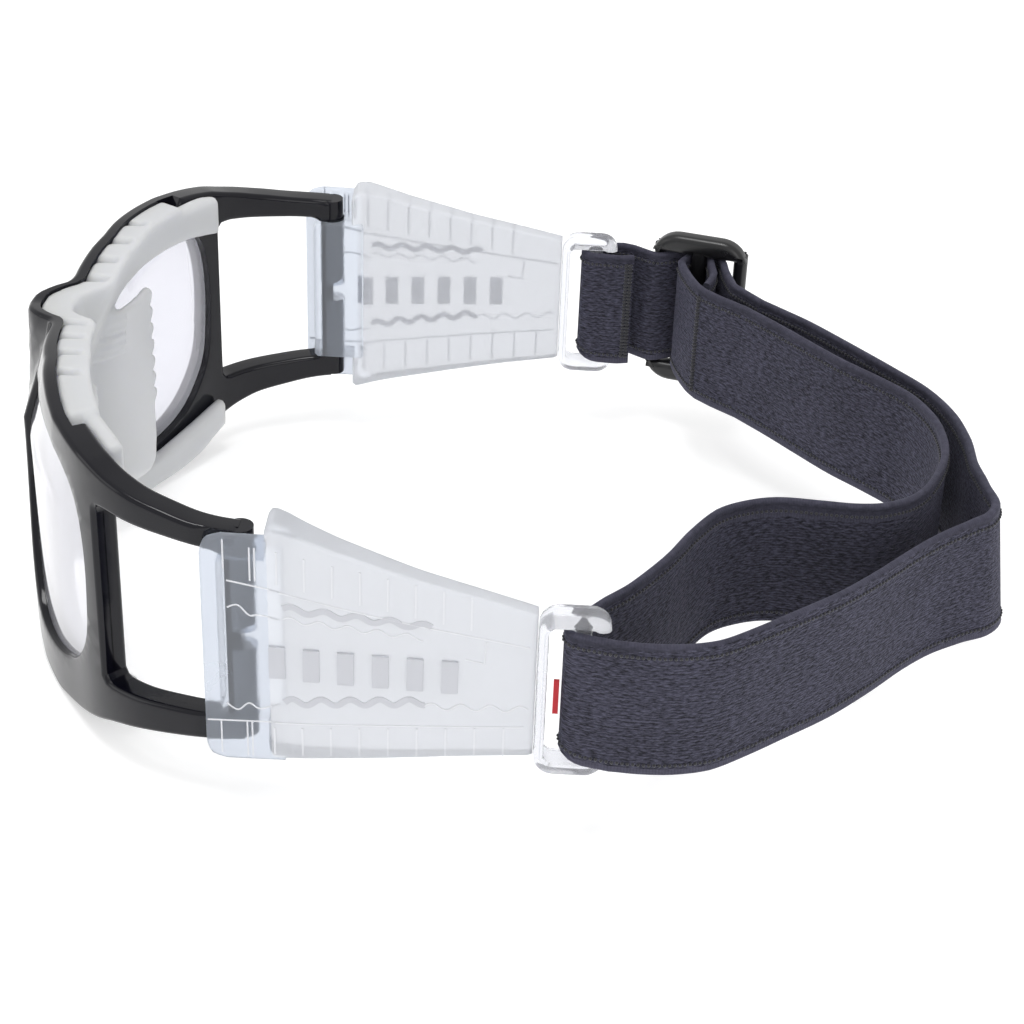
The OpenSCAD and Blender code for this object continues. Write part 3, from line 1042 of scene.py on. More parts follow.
class RowTree:
    """A Geometry Nodes tree that sets small blobs or bars in a row along a line."""

    def __init__(self) -> None:
        """Builds the tree once."""
        tree = bpy.data.node_groups.new("row_of_pieces", "GeometryNodeTree")
        tree.interface.new_socket("Line", in_out="INPUT", socket_type="NodeSocketGeometry")
        for name, kind, value in (
            ("Pitch", "NodeSocketFloat", 0.002),
            ("Size", "NodeSocketVector", (0.0003, 0.0003, 0.001)),
            ("Boxes", "NodeSocketBool", False),
            ("Follow", "NodeSocketBool", True),
        ):
            tree.interface.new_socket(name, in_out="INPUT", socket_type=kind).default_value = value
        tree.interface.new_socket("Material", in_out="INPUT", socket_type="NodeSocketMaterial")
        tree.interface.new_socket("Pieces", in_out="OUTPUT", socket_type="NodeSocketGeometry")
        n = Nodes(tree)
        start, end = n.add("NodeGroupInput"), n.add("NodeGroupOutput")
        curve = n.add("GeometryNodeMeshToCurve", {"Mesh": start.outputs["Line"]})
        even = n.add(
            "GeometryNodeResampleCurve",
            {"Curve": curve.outputs[0], "Length": start.outputs["Pitch"]},
            mode="LENGTH",
        )
        blob = n.add("GeometryNodeMeshUVSphere", {"Segments": 8, "Rings": 5, "Radius": 0.5})
        block = n.add("GeometryNodeMeshCube", {"Size": (1.0, 1.0, 1.0)})
        shapes = {"False": blob.outputs["Mesh"], "True": block.outputs["Mesh"]}
        piece = n.add(
            "GeometryNodeSwitch",
            {"Switch": start.outputs["Boxes"], **shapes},
            input_type="GEOMETRY",
        )
        tangent = n.add("GeometryNodeInputTangent").outputs[0]
        turn = n.add("FunctionNodeAlignRotationToVector", {"Vector": tangent}, axis="Z")
        still = n.add(
            "GeometryNodeSwitch",
            {"Switch": start.outputs["Follow"], "True": turn.outputs[0]},
            input_type="ROTATION",
        )
        rows = n.add(
            "GeometryNodeInstanceOnPoints",
            {
                "Points": even.outputs[0],
                "Instance": piece.outputs[0],
                "Rotation": still.outputs[0],
                "Scale": start.outputs["Size"],
            },
        )
        real = n.add("GeometryNodeRealizeInstances", {0: rows.outputs[0]})
        done = n.add(
            "GeometryNodeSetMaterial",
            {"Geometry": real.outputs[0], "Material": start.outputs["Material"]},
        )
        tree.links.new(done.outputs[0], end.inputs[0])
        self.tree = tree

    def lay(
        self,
        name: str,
        lines: Sequence[Sequence[Sequence[float]]],
        pitch: float,
        size: tuple[float, float, float],
        mat: bpy.types.Material,
        boxes: bool = False,
        follow: bool = True,
    ) -> Thing:
        """Sets pieces along lines.

        Args:
            name: the object's name.
            lines: the lines, as points in millimetres.
            pitch: the distance between pieces, in millimetres.
            size: each piece's size, its length last, in millimetres.
            mat: its material.
            boxes: bars in place of blobs.
            follow: whether the length turns along the line.

        Returns:
            The object, as a plain mesh.
        """
        verts: list[tuple[float, ...]] = []
        edges: list[tuple[int, int]] = []
        for line in lines:
            base = len(verts)
            verts += [tuple(c * MM for c in p) for p in line]
            edges += [(base + k, base + k + 1) for k in range(len(line) - 1)]
        mesh = bpy.data.meshes.new(name)
        mesh.from_pydata(verts, edges, [])
        obj = new_object(name, mesh)
        mod = obj.modifiers.new("Row", "NODES")
        mod.node_group = self.tree
        ids = {s.name: s.identifier for s in self.tree.interface.items_tree if s.in_out == "INPUT"}
        for key, value in (
            ("Pitch", pitch * MM),
            ("Size", tuple(c * MM for c in size)),
            ("Boxes", boxes),
            ("Follow", follow),
            ("Material", mat),
        ):
            mod[ids[key]] = value
        applied(obj)
        for f in obj.data.polygons:
            f.use_smooth = not boxes
        return obj


# ---- the face pad -----------------------------------------------------------------------


@dataclass
class FacePad:
    """The soft silicone moulding: brow cushion, nose wings and cheek strips."""

    front: float = 4.95
    back: float = 8.1
    ledge: float = 2.32
    edge: float = 1.25
    end_x: float = 54.0
    floor_z: float = 1.2
    ledge_end: float = 45.6
    eye: ClassVar[Line] = [
        (54.0, 49.4), (50, 50.2), (44, 51.2), (31, 51.6), (21, 50.6), (16.8, 47.4), (15.9, 40),
        (16.6, 31), (19.2, 22), (23.6, 13), (29, 8.9), (36, 7.4), (46, 9.5), (54.0, 12.0),
    ]
    foot: ClassVar[Line] = [(54.0, 6.4), (50, 4.4), (47, 2.7), (41, 1.3), (33, 1.2), (27, 1.4)]
    wing: ClassVar[Line] = [(9.2, -81.4), (11, -78), (14.5, -74.8), (20, -72.2), (26.5, -70.6)]
    wing_t: float = 1.6
    tooth: float = 1.9
    tooth_pitch: float = 3.5
    vents: tuple[float, ...] = (9.0, 15.5, 22.5, 30.0)
    vent_deep: float = 1.5
    vent_low: float = 56.0

    def wall(self) -> Blank:
        """The wall behind the rims, open towards each temple."""
        top = [(x, min(z - 0.2, 58)) for x, z in smooth(BROW, 4) if x < 53]
        chin = [(x, max(z, self.floor_z)) for x, z in smooth(self.foot, 4) + smooth(NOSE, 4)[1:]]
        left = WRAP.flat(top + [(self.end_x, 57)] + smooth(self.eye, 4) + chin)
        whole = spaced(both_sides(left[:-1], left[:0:-1]), FINE, True)
        return slab(whole, round_rings(self.front, self.back, self.edge))

    def cushion(self) -> Blank:
        """The brow cushion that comes forward over the ledge behind the brow's lip."""
        brow = [(x, z - 0.15) for x, z in smooth(BROW, 4) if x <= self.ledge_end]
        left = WRAP.flat(brow + [(self.ledge_end, 55.5)])
        whole = spaced(both_sides(left, left[:0:-1]), FINE, True)
        return slab(whole, round_rings(self.ledge, self.back, 0.8))

    def nose_wing(self) -> Blank:
        """One wing along the nose, with a scalloped rear edge."""
        plan = np.array(smooth(self.wing, 8), float)
        run = run_along(plan)
        end, low = run[-1], 24
        teeth = [
            (end - 1.4 + self.tooth * abs(math.sin(math.pi * (z - low) / self.tooth_pitch)), z)
            for z in np.arange(low, 48.5, 0.25)
        ]
        foot = [(0, 12), (end - 5, 10.4), (end - 2, 12), (end - 1.2, 17)]
        side = foot + teeth + [(end - 2, 49), (0, 49.6)]
        normal = np.gradient(plan, run, axis=0)
        normal /= np.linalg.norm(normal, axis=1, keepdims=True)

        def bend(v: np.ndarray) -> np.ndarray:
            at = [np.interp(v[:, 0], run, plan[:, k]) for k in (0, 1)]
            t = [np.interp(v[:, 0], run, normal[:, k]) for k in (0, 1)]
            back = WRAP.lean(at[0], v[:, 2]) * np.clip(1 - v[:, 0] / end, 0, 1)
            return np.stack([at[0] + t[1] * v[:, 1], at[1] - t[0] * v[:, 1] + back, v[:, 2]], 1)

        rings = round_rings(0.0, self.wing_t, 0.6, 2)
        return slab(spaced(side, 0.5, True), rings, pitch=2.0).moved(bend)

    def ribs(self) -> Blank:
        """The small ribbed block on each wing's inner side."""
        blank = Blank()
        for k in range(5):
            z = 40.8 + 1.7 * k
            back = 0.07 * (z - 40)
            line = [(9.6, -78.9 + back, z), (11.4, -76.4 + back, z), (14.2, -73.9 + back, z)]
            blank.join(sweep(line, round_box_ring(1.6, 0.95, 0.4)))
        return blank

    def vented(self, obj: Thing) -> Thing:
        """Presses short wedge-shaped vents into the top of the cushion, behind the brow's lip."""
        for vert in obj.data.vertices:
            x, y, z = (c / MM for c in vert.co)
            if z < self.vent_low:
                continue
            near = min(abs(abs(x) - c) for c in self.vents)
            front = WRAP.bend(np.array([[WRAP.at_x(x), self.ledge, z]]))[0]
            depth = math.hypot(x - front[0], y - front[1])
            wide = np.interp(near, [0.5, 1.3], [1, 0])
            long = np.interp(depth, [0, 3.2, 4.6], [1, 0.75, 0])
            vert.co.z -= self.vent_deep * MM * float(wide * long)
        return obj

    def build(self, finishes: Finishes) -> Thing:
        """Makes the pad as one soft skin."""
        part = self.wall().moved(WRAP.bend)
        for extra in (self.cushion().moved(WRAP.bend), self.nose_wing().both(), self.ribs().both()):
            part.join(extra)
        obj = self.vented(fused(part.object("face_pad_silicone"), 0.5, 2))
        return placed(dress(obj, finishes.silicone), Body.FRAME, "face_pad")


# ---- temples ----------------------------------------------------------------------------


@dataclass
class Temple:
    """One flexible temple: the flap over the arm ends, the tongue and the long blade."""

    side: Side
    body: Body
    flap_x: float = 66.2
    flap_t: float = 1.6
    tongue_x: float = 66.6
    bore_r: float = 2.48
    outer: ClassVar[Line] = [(-36.4, 67.8), (-30, 68.6), (-14, 69.6), (6.6, 70.6)]
    inner: ClassVar[Line] = [(-36.4, 59.6), (-30, 62.4), (-14, 65.4), (6.6, 67.6)]
    edge_line: ClassVar[Line] = [
        (-36.3, 11.4), (-35.6, 10.5), (-34, 10.6), (-20, 12.4), (-5, 14.6), (6.5, 16),
        (6.5, 43.2), (0, 44.8), (-12, 47.6), (-25, 51.4), (-33, 54.2), (-34.8, 54.4),
        (-36, 54), (-36.4, 53),
    ]

    def face_x(self, plan: Line, y: np.ndarray) -> np.ndarray:
        """The distance out from the centre plane, at y, of a face's plan curve."""
        line = np.array(smooth(plan, 6), float)
        return np.interp(y, line[:, 0], line[:, 1])

    def blade(self) -> Blank:
        """The blade, its thickness following the two plan curves."""
        deep = 4.0
        blank = slab(spaced(self.edge_line, 1.0, True), round_rings(0.0, deep, 0.7, 3), pitch=2.0)

        def place(v: np.ndarray) -> np.ndarray:
            out, into = self.face_x(self.outer, v[:, 0]), self.face_x(self.inner, v[:, 0])
            return np.stack([out + (into - out) * v[:, 1] / deep, v[:, 0], v[:, 2]], 1)

        return blank.moved(place)

    def flap(self) -> Blank:
        """The outer flap, with round corners."""
        line = [
            (-33.5, 52.7), (-43, 52.8), (-45.5, 51.9), (-46.4, 49.6),
            (-46.4, 13.2), (-45.5, 10.9), (-43, 10), (-33.5, 10.1),
        ]
        round_line = smooth(line[1:4], 4) + smooth(line[4:7], 4) + [line[7], line[0]]
        rings = round_rings(0.0, self.flap_t, 0.55, 3)
        return slab(spaced(round_line, 0.8, True), rings, pitch=2.0).moved(
            lambda v: np.stack([self.flap_x + self.flap_t - v[:, 1], v[:, 0], v[:, 2]], 1)
        )

    def tongue(self) -> Blank:
        """The tongue between the arms that holds both prongs."""
        line = [
            (-44.1, 18.2), (-43.4, 17.6), (-34, 17.6), (-34, 47.8), (-43.4, 47.8), (-44.1, 47.2),
        ]
        blank = slab(spaced(line, 0.9, True), round_rings(0.0, 7.0, 0.5, 2))
        return blank.moved(lambda v: np.stack([self.tongue_x - v[:, 1], v[:, 0], v[:, 2]], 1))

    def bores(self) -> list[Blank]:
        """The two blind bores, as solids to cut."""
        return [
            upright(*PRONG_AT, low, high, self.bore_r, PRONG_SIDES)
            for low, high in ((16.0, 30.3), (33.7, 49.5))
        ]

    def on_face(self, line: Line, proud: float = 0.0) -> list[Point]:
        """Lays a line of (y, z) on the blade's outer face."""
        x = self.face_x(self.outer, np.array([p[0] for p in line])) + proud
        return [(self.side.value * float(a), float(y), z) for a, (y, z) in zip(x, line)]

    def zigzag(self, y0: float, y1: float, z0: float, z1: float, high: float, pitch: float) -> Line:
        """A soft zigzag of (y, z) that climbs from z0 to z1.

        Args:
            y0: where it starts.
            y1: where it ends.
            z0: its height at the start.
            z1: its height at the end.
            high: how far it swings.
            pitch: the length of one swing.

        Returns:
            The line.
        """
        return [
            (
                y,
                z0 + (z1 - z0) * (y - y0) / (y1 - y0)
                + high / 2 * math.sin(2 * math.pi * (y - y0) / pitch),
            )
            for y in np.arange(y0, y1, pitch / 10)
        ]

    def lines(self) -> list[list[Point]]:
        """The fine engraved lines that run along the blade."""
        return [
            self.on_face(self.zigzag(-33.4, -11, 38.4, 37.2, 1.0, 4.6)),
            self.on_face(self.zigzag(-11, 5.6, 24.2, 25.2, 1.2, 4.7)),
            self.on_face([(-34, 43.2), (-22, 41), (-12, 39.4), (-2, 38), (5.4, 37)]),
            self.on_face([(-4.6, 33.8), (-1.6, 33.4), (-1.4, 37.4)]),
            self.on_face([(y, 18 + 0.091 * (y + 35)) for y in np.arange(-35, 5.8, 1.0)]),
        ]

    def bands(self) -> list[list[Point]]:
        """The broad zigzags along the blade, later laid as strips of painted groove shade."""
        return [
            self.on_face(self.zigzag(-33.4, -10.6, 22.4, 25.0, 1.2, 4.7)),
            self.on_face(self.zigzag(-33.4, -9.6, 40.4, 39.4, 1.0, 5.2)),
        ]

    def build(self, finishes: Finishes, rows: RowTree) -> None:
        """Makes the temple and its engraving, with painted shade on its broad zigzags and tiles."""
        name = self.side.name.lower()
        blade = self.blade().handed(self.side).object(f"temple_blade_{name}")
        blade.data.materials.append(finishes.temple)
        adds = [b.handed(self.side).object("add") for b in (self.flap(), self.tongue())]
        cuts = [b.handed(self.side).object("cut") for b in self.bores()]
        for tool in adds + cuts:
            tool.data.materials.append(finishes.flap)
        obj = joined(blade, adds, cuts)
        crisp(obj, 40)
        placed(obj, self.body, f"temple_{name}")
        raised, groove_shade = Blank(), Blank()
        for line in self.lines():
            raised.join(sweep(line, disc_ring(0.15, 6)))
        x, groove = self.side.value * (self.flap_x + self.flap_t), 0.16
        for y, low, high in self.flap_marks():
            raised.join(upright(x, y, low, high, groove, 6))
        for line in self.flap_waves():
            path = [(x, y, z) for y, z in line]
            raised.join(sweep(path, disc_ring(groove, 6), up=Vector((1, 0, 0))))
        # the broad zigzags are flat strips in the darker material: painted shade where the real
        # grooves fall
        for line in self.bands():
            groove_shade.join(sweep(line, round_box_ring(0.26, 1.15, 0.12, 2)))
        # broad is the darker material of painted shade, used for the zigzags and the tiles
        fine, broad = finishes.line, finishes.tile
        for blank, kind, mat in ((raised, "lines", fine), (groove_shade, "waves", broad)):
            marks = blank.object(f"temple_{kind}_{name}")
            placed(dress(marks, mat), self.body)
        # the tiles take the darker material: painted shade standing for the shade inside the
        # temple's small recesses
        for kind, span, (z0, slope, about), proud, pitch, size, mat in (
            ("tiles", (-34.5, -6.6), (30.4, 0.01, 0), 0.1, 5.5, (0.7, 2.6, 6.0), broad),
            ("ribs_low", (-35.2, 2), (14.6, 0.11, 33), -0.02, 4.45, (0.3, 0.3, 5.4), fine),
            ("ribs_top", (-34.3, -3.4), (47.4, -0.17, 33), -0.02, 4.35, (0.3, 0.3, 6.0), fine),
        ):
            line = [(y, z0 + slope * (y + about)) for y in np.arange(*span, 0.5)]
            row = rows.lay(
                f"temple_{kind}_{name}", [self.on_face(line, proud)], pitch, size, mat,
                boxes=True, follow=False,
            )
            placed(dress(row, mat), self.body)

    def flap_marks(self) -> list[Point]:
        """The engraved upright lines of the flap, as (y, low z, high z)."""
        return [
            (-42.6, 47, 52.2), (-38.5, 45, 51), (-37.7, 45, 51),
            (-43.8, 11.4, 17.8), (-39.6, 11, 17.8), (-38.8, 11, 17.8),
        ]

    def flap_waves(self) -> list[Line]:
        """The engraved wavy lines across the flap."""
        return [
            smooth([(-42.2, 39.8), (-40.5, 40.3), (-38.8, 38.5), (-37.2, 38.6), (-34, 38)], 5),
            smooth([(-42.8, 21.3), (-41, 20.1), (-39.2, 21.5), (-37.4, 20.5), (-34, 21.8)], 5),
            [(-46, 17.8), (-34, 18)],
            [(-42.2, 44.8), (-34, 43.2)],
        ]


# ---- buckles ----------------------------------------------------------------------------


@dataclass
class Buckle:
    """One clear strap buckle on a temple's end."""

    side: Side
    body: Body
    thick: float = 4.4
    front: float = 6.6
    rear: float = 18.0
    high: float = 31.0
    slot_front: float = 8.3
    lip: float = 2.0
    opening: float = 4.2

    def build(self, finishes: Finishes) -> Thing:
        """Makes the buckle as one clear piece."""
        x, half = BAR_AT[0], SLOT_LONG / 2
        near, far = self.slot_front, self.rear - self.lip
        middle = (self.front + self.rear) / 2
        outer = [
            (y + middle, z) for y, z in round_box_ring(self.rear - self.front, self.high, 3.2, 5)
        ]
        window = [
            (near, -half + 0.8), (near + 0.8, -half), (far - 0.6, -half), (far, -half + 0.6),
            (far, half - 0.6), (far - 0.6, half), (near + 0.8, half), (near, half - 0.8),
        ]
        hole = (spaced(window, 0.7, True), round_rings(0.0, self.thick, 0.7))
        plate = slab(spaced(outer, 0.7, True), round_rings(0.0, self.thick, 1.2), [hole], pitch=1.6)
        plate.moved(
            lambda v: np.stack([x + self.thick / 2 - v[:, 1], v[:, 0], BAND_MID_Z + v[:, 2]], 1)
        )
        gap = sweep(
            [(x, self.rear - self.opening, BAND_MID_Z), (x, self.rear + 2, BAND_MID_Z)],
            [(-4, -half), (4, -half), (4, half), (-4, half)],
        )
        bar = upright(*BAR_AT, BAND_MID_Z - half - 0.6, BAND_MID_Z + half + 0.6, BAR_R)
        name = self.side.name.lower()
        obj = plate.handed(self.side).object(f"buckle_clear_{name}")
        obj = joined(obj, [], [gap.handed(self.side).object("cut")])
        obj = joined(obj, [bar.handed(self.side).object("add")], [])
        crisp(obj, 40)
        return placed(dress(obj, finishes.buckle), self.body, f"buckle_{name}")


# ---- the band ---------------------------------------------------------------------------

OUTER_ROUTE: Line = [
    (73.2, 19), (73.1, 24), (72.2, 29.4), (70, 35), (66, 40.6), (60.6, 47.2), (54.4, 54.6),
    (47.4, 61.4), (40.4, 67.6), (35, 73.6), (31.4, 79.6), (28.6, 84.6), (24, 87.2), (18, 85.4),
    (11, 82.2), (2, 81.2), (-6.6, 79.6), (-15, 76), (-22.4, 70.6), (-31, 63.7), (-40, 56.2),
    (-44.8, 51.4), (-49, 47),
]
INNER_ROUTE: Line = [
    (61.2, 16.9), (56, 21.6), (48.4, 27), (41, 31), (34.6, 35.6), (31.2, 40.9), (29.8, 46.2),
    (30.2, 53), (30.6, 59), (29.6, 64.4), (26, 69.4), (20, 73.6), (12, 76.2), (4, 77), (-4.6, 76),
    (-12.6, 72.6), (-18.6, 67.4), (-25, 61), (-32.4, 54.8), (-39, 49.4), (-45.6, 43.6),
]
RIGHT_OUTER_LEG: Line = [(-73.1, 19), (-72.2, 21.4)]
RIGHT_INNER_LEG: Line = [(-66.6, 18.8), (-67.2, 21.4)]
PASS_ROUTE: Line = [
    (-10, 0.8), (-8.3, 0.9), (-6.2, -0.7), (-3.6, -3.1), (0, -4.3), (3.4, -3), (5.2, -0.2),
    (6.4, 3), (8, 6.4), (9.7, 9.7),
]
LOOP_FRONT: Line = [(-3.2, 2.2), (-1.6, 5.6), (0.4, 9), (2.6, 12.2)]
LOOP_REAR: Line = [(3.4, 2.4), (4.4, 5), (4.6, 8), (4.3, 11.4)]
INNER_START: Line = [(4.6, 14.2), (8.4, 16.4)]
OUTER_JOIN_X, INNER_JOIN_X = 18, 20  # where the left stretch ends and the rear ones start


def arc(centre: tuple[float, float], radius: float, start: float, end: float, steps: int) -> Line:
    """Points round a circle, from start to end in degrees."""
    x, y = centre
    turns = [math.radians(a) for a in np.linspace(start, end, steps + 1)]
    return [(x + radius * math.cos(a), y + radius * math.sin(a)) for a in turns]


@dataclass
class Band:
    """The elastic band, laid in stretches between the bodies it joins."""

    thick: float = 1.5
    bead: float = 0.72
    turn_r: float = 2.35
    pitch: float = 1.1
    corner: tuple[float, float] = (23.0, 86.0)
    corner_r: float = 10.0
    corner_lean: float = 4.0
    sag: float = 1.0
    ride_up: float = 1.4
    fold_lift: float = 2.0
    stitch_z: float = 10.3

    def from_slider(self, q: tuple[float, float]) -> tuple[float, float]:
        """A point of the slider's own axes, in the row frame."""
        c, s = math.cos(SLIDER_TURN), math.sin(SLIDER_TURN)
        return (SLIDER_AT[0] + q[0] * s + q[1] * c, SLIDER_AT[1] + q[0] * c - q[1] * s)

    def lean(self, v: np.ndarray) -> np.ndarray:
        """Lets the band hang as cloth does.

        The upper edge tips forward where the outer layer turns the rear corner, the left
        side's outer layer sags and its inner layer rides up, and the lower edge draws up where
        it turns a buckle's bar.

        Args:
            v: points of the band, one a row.

        Returns:
            The moved points.
        """
        x, y = self.corner
        near = np.exp(-((v[:, 0] - x) ** 2 + (v[:, 1] - y) ** 2) / self.corner_r**2)
        v[:, 1] -= self.corner_lean * near * np.clip((v[:, 2] - BAND_LOW) / BAND_WIDE, 0, 1)
        layer = np.interp(v[:, 0] + 0.6 * v[:, 1], [70, 77], [self.ride_up, -self.sag])
        side = np.interp(v[:, 1], [20, 35, 66, 80], [0, 1, 1, 0]) * np.clip(v[:, 0] / 20, 0, 1)
        v[:, 2] += layer * side
        turned = np.clip((15 - v[:, 1]) / 4.6, 0, 1) ** 2 * (np.abs(v[:, 0]) > 60)
        v[:, 2] += self.fold_lift * turned * np.clip((BAND_LOW + 6 - v[:, 2]) / 6, 0, 1)
        return v

    def ring(self) -> Line:
        """The band's section: a flat web between two rolled edges."""
        half, web, r = BAND_WIDE / 2, self.thick / 2 - 0.12, self.bead
        outer = [(web, v) for v in np.linspace(-half + 2 * r, half - 2 * r, 13)]
        turn = np.linspace(-0.25, math.pi + 0.25, 10)
        top = [(r * math.cos(a), half - r + r * math.sin(a)) for a in turn]
        return outer + top + [(-x, -v) for x, v in outer + top]

    def stretch(self, name: str, line: Line, finishes: Finishes) -> Thing:
        """Makes one stretch of band along a line seen from above.

        Args:
            name: the object's name.
            line: the middle of the band's thickness.
            finishes: the materials.

        Returns:
            The stretch, with its own map in millimetres.
        """
        line = spaced(line, self.pitch)
        blank = sweep([(x, y, BAND_MID_Z) for x, y in line], self.ring())
        obj = blank.object(name, 60)
        obj.modifiers.clear()
        self.map_band(obj, line)
        for vert, at in zip(obj.data.vertices, self.lean(np.array(blank.verts, float))):
            vert.co = Vector(at) * MM
        dress(obj, finishes.knit)
        obj.data.materials.append(finishes.piping)
        edge = BAND_WIDE / 2 - 2 * self.bead * 0.9
        for f in obj.data.polygons:
            if abs(f.center.z / MM - BAND_MID_Z) > edge:
                f.material_index = 1
        return obj

    def map_band(self, obj: Thing, line: Line) -> None:
        """Writes the map: millimetres along the band, and up it."""
        p = np.array(line, float)
        run = run_along(p)
        layer = obj.data.uv_layers.new(name="band_mm")
        co = np.array([v.co for v in obj.data.vertices], float) / MM
        near = np.array([np.argmin(np.hypot(*(p - c[:2]).T)) for c in co])
        along = run[near]
        for poly in obj.data.polygons:
            for k in poly.loop_indices:
                v = obj.data.loops[k].vertex_index
                layer.data[k].uv = (along[v], co[v][2])

    def rows(self, name: str, line: Line, rows: RowTree, mat: bpy.types.Material) -> Thing:
        """The stitch rows near both edges, on both faces of a stretch."""
        line = spaced(line, 1.0)
        lines = []
        for sense in (1, -1):
            side = grown(line, sense * (self.thick / 2 - 0.06), closed=False)
            for z in (BAND_MID_Z - self.stitch_z, BAND_MID_Z + self.stitch_z):
                lines.append(self.lean(np.array([(x, y, z) for x, y in side[1:-1]])))
        return dress(rows.lay(name, lines, 0.85, (0.6, 0.6, 0.55), mat), mat)

    def left_line(self) -> Line:
        """From the inner layer's middle, round the left bar, to the outer layer's middle."""
        inner = [q for q in smooth(INNER_ROUTE, 6) if q[0] > INNER_JOIN_X]
        outer = [q for q in smooth(OUTER_ROUTE, 6) if q[0] > OUTER_JOIN_X]
        return inner[::-1] + arc(BAR_AT, self.turn_r, -120, -10, 11) + outer

    def rear_line(self, route: Line, join_x: float) -> Line:
        """One layer from where the left stretch ends, at join_x, to the slider's rear."""
        line = smooth(route, 6)
        return line[max(k for k, q in enumerate(line) if q[0] > join_x) :]

    def slider_loop(self) -> Line:
        """Round the slider's middle bar, as far as the inner layer's end."""
        turn = arc((0, 0), BAR_R + 0.25 + self.thick / 2, -10, -170, 9)
        loop = LOOP_REAR[::-1] + turn + LOOP_FRONT + INNER_START
        return [self.from_slider(q) for q in loop] + [INNER_ROUTE[-1]]

    def right_loop(self) -> Line:
        """Round the right buckle's bar."""
        turn = arc((-BAR_AT[0], BAR_AT[1]), self.turn_r, -15, -175, 14)
        return RIGHT_INNER_LEG[::-1] + turn + RIGHT_OUTER_LEG

    def build(self, finishes: Finishes, rows: RowTree) -> None:
        """Makes every stretch and its stitches."""
        through = [self.from_slider(q) for q in smooth(PASS_ROUTE, 4)]
        middle = len(through) // 2
        through = [RIGHT_OUTER_LEG[-1], *through, OUTER_ROUTE[-1]]
        pieces = [
            (
                "band_left", self.left_line(), Body.LEFT, Body.FRAME,
                (0.0, 0.028, 0.0285), (0.0, 0.0725, 0.0285), ("strap_left_loop",),
            ),
            (
                "band_rear_outer", self.rear_line(OUTER_ROUTE, OUTER_JOIN_X),
                Body.FRAME, Body.RIGHT,
                (-0.002, 0.080, 0.0285), (-0.046, 0.050, 0.0285),
                ("strap_rear_outer", "strap_right_outer"),
            ),
            (
                "band_rear_inner", self.rear_line(INNER_ROUTE, INNER_JOIN_X),
                Body.FRAME, Body.RIGHT,
                (0.0, 0.077, 0.0285), (-0.042, 0.047, 0.0285),
                ("strap_rear_inner", "strap_right_inner"),
            ),
            (
                "band_slider_pass", through[: middle + 1], Body.RIGHT, Body.SLIDER,
                (-0.0722, 0.0216, 0.0285), (-0.0698, 0.0248, 0.0285), ("strap_slider_pass",),
            ),
            (
                "band_slider_pass_rear", through[middle:], Body.SLIDER, Body.RIGHT,
                (-0.0559, 0.0417, 0.0285), (-0.0492, 0.0468, 0.0285), (),
            ),
            (
                "band_slider_loop", self.slider_loop(), Body.SLIDER, Body.RIGHT,
                (-0.0529, 0.0356, 0.0285), (-0.0460, 0.0432, 0.0285), ("strap_slider_loop",),
            ),
            (
                "band_right_loop", self.right_loop(), Body.RIGHT, None,
                None, None, ("strap_right_loop",),
            ),
        ]
        for name, line, a, b, start, end, nodes in pieces:
            obj = self.stretch(name, line, finishes)
            row = self.rows(f"{name}_stitches", line, rows, finishes.thread)
            for piece in (obj, row):
                if start is not None:
                    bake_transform(piece)
                else:
                    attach(piece, a.value)
            if nodes:
                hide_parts(*nodes)
            log.info("%s follows %s", name, a.value)


@dataclass
class Slider:
    """The tri-glide slider: two round-ended rails and three bars."""

    long: float = 20.0
    thick: float = 4.0
    rail: float = 4.0
    corner: float = 5.5
    offset: float = -0.9
    bars: ClassVar[Line] = [(-8.4, -2), (0, 0), (8.4, -2)]

    def build(self, finishes: Finishes) -> Thing:
        """Makes the slider as one moulding."""
        half = SLOT_LONG / 2
        full = round_box_ring(self.long, 2 * (half + self.rail), self.corner, 8)
        blank = Blank()
        for sign in (1, -1):
            cap = sorted((q for q in full if q[1] * sign > half + 0.01), key=lambda q: q[0])
            ends = [(end * self.long / 2, sign * half) for end in (-1, 1)]
            line = spaced([ends[0], *cap, ends[1]], 0.6, True)
            rail = slab(line, round_rings(0.0, self.thick, 1.3), pitch=1.6)
            rail.moved(
                lambda v: np.stack([self.offset + self.thick / 2 - v[:, 1], v[:, 0], v[:, 2]], 1)
            )
            blank.join(rail)
        for u, v in self.bars:
            blank.join(upright(v, u, -half - 0.8, half + 0.8, BAR_R))
        blank.moved(self.turned)
        obj = blank.object("slider_moulding", 40)
        return placed(dress(obj, finishes.slider), Body.SLIDER, "slider")

    def turned(self, v: np.ndarray) -> np.ndarray:
        """Turns points to lie along the band and sets them in place."""
        c, s = math.cos(SLIDER_TURN), math.sin(SLIDER_TURN)
        x = SLIDER_AT[0] + v[:, 0] * c + v[:, 1] * s
        return np.stack([x, SLIDER_AT[1] - v[:, 0] * s + v[:, 1] * c, BAND_MID_Z + v[:, 2]], 1)


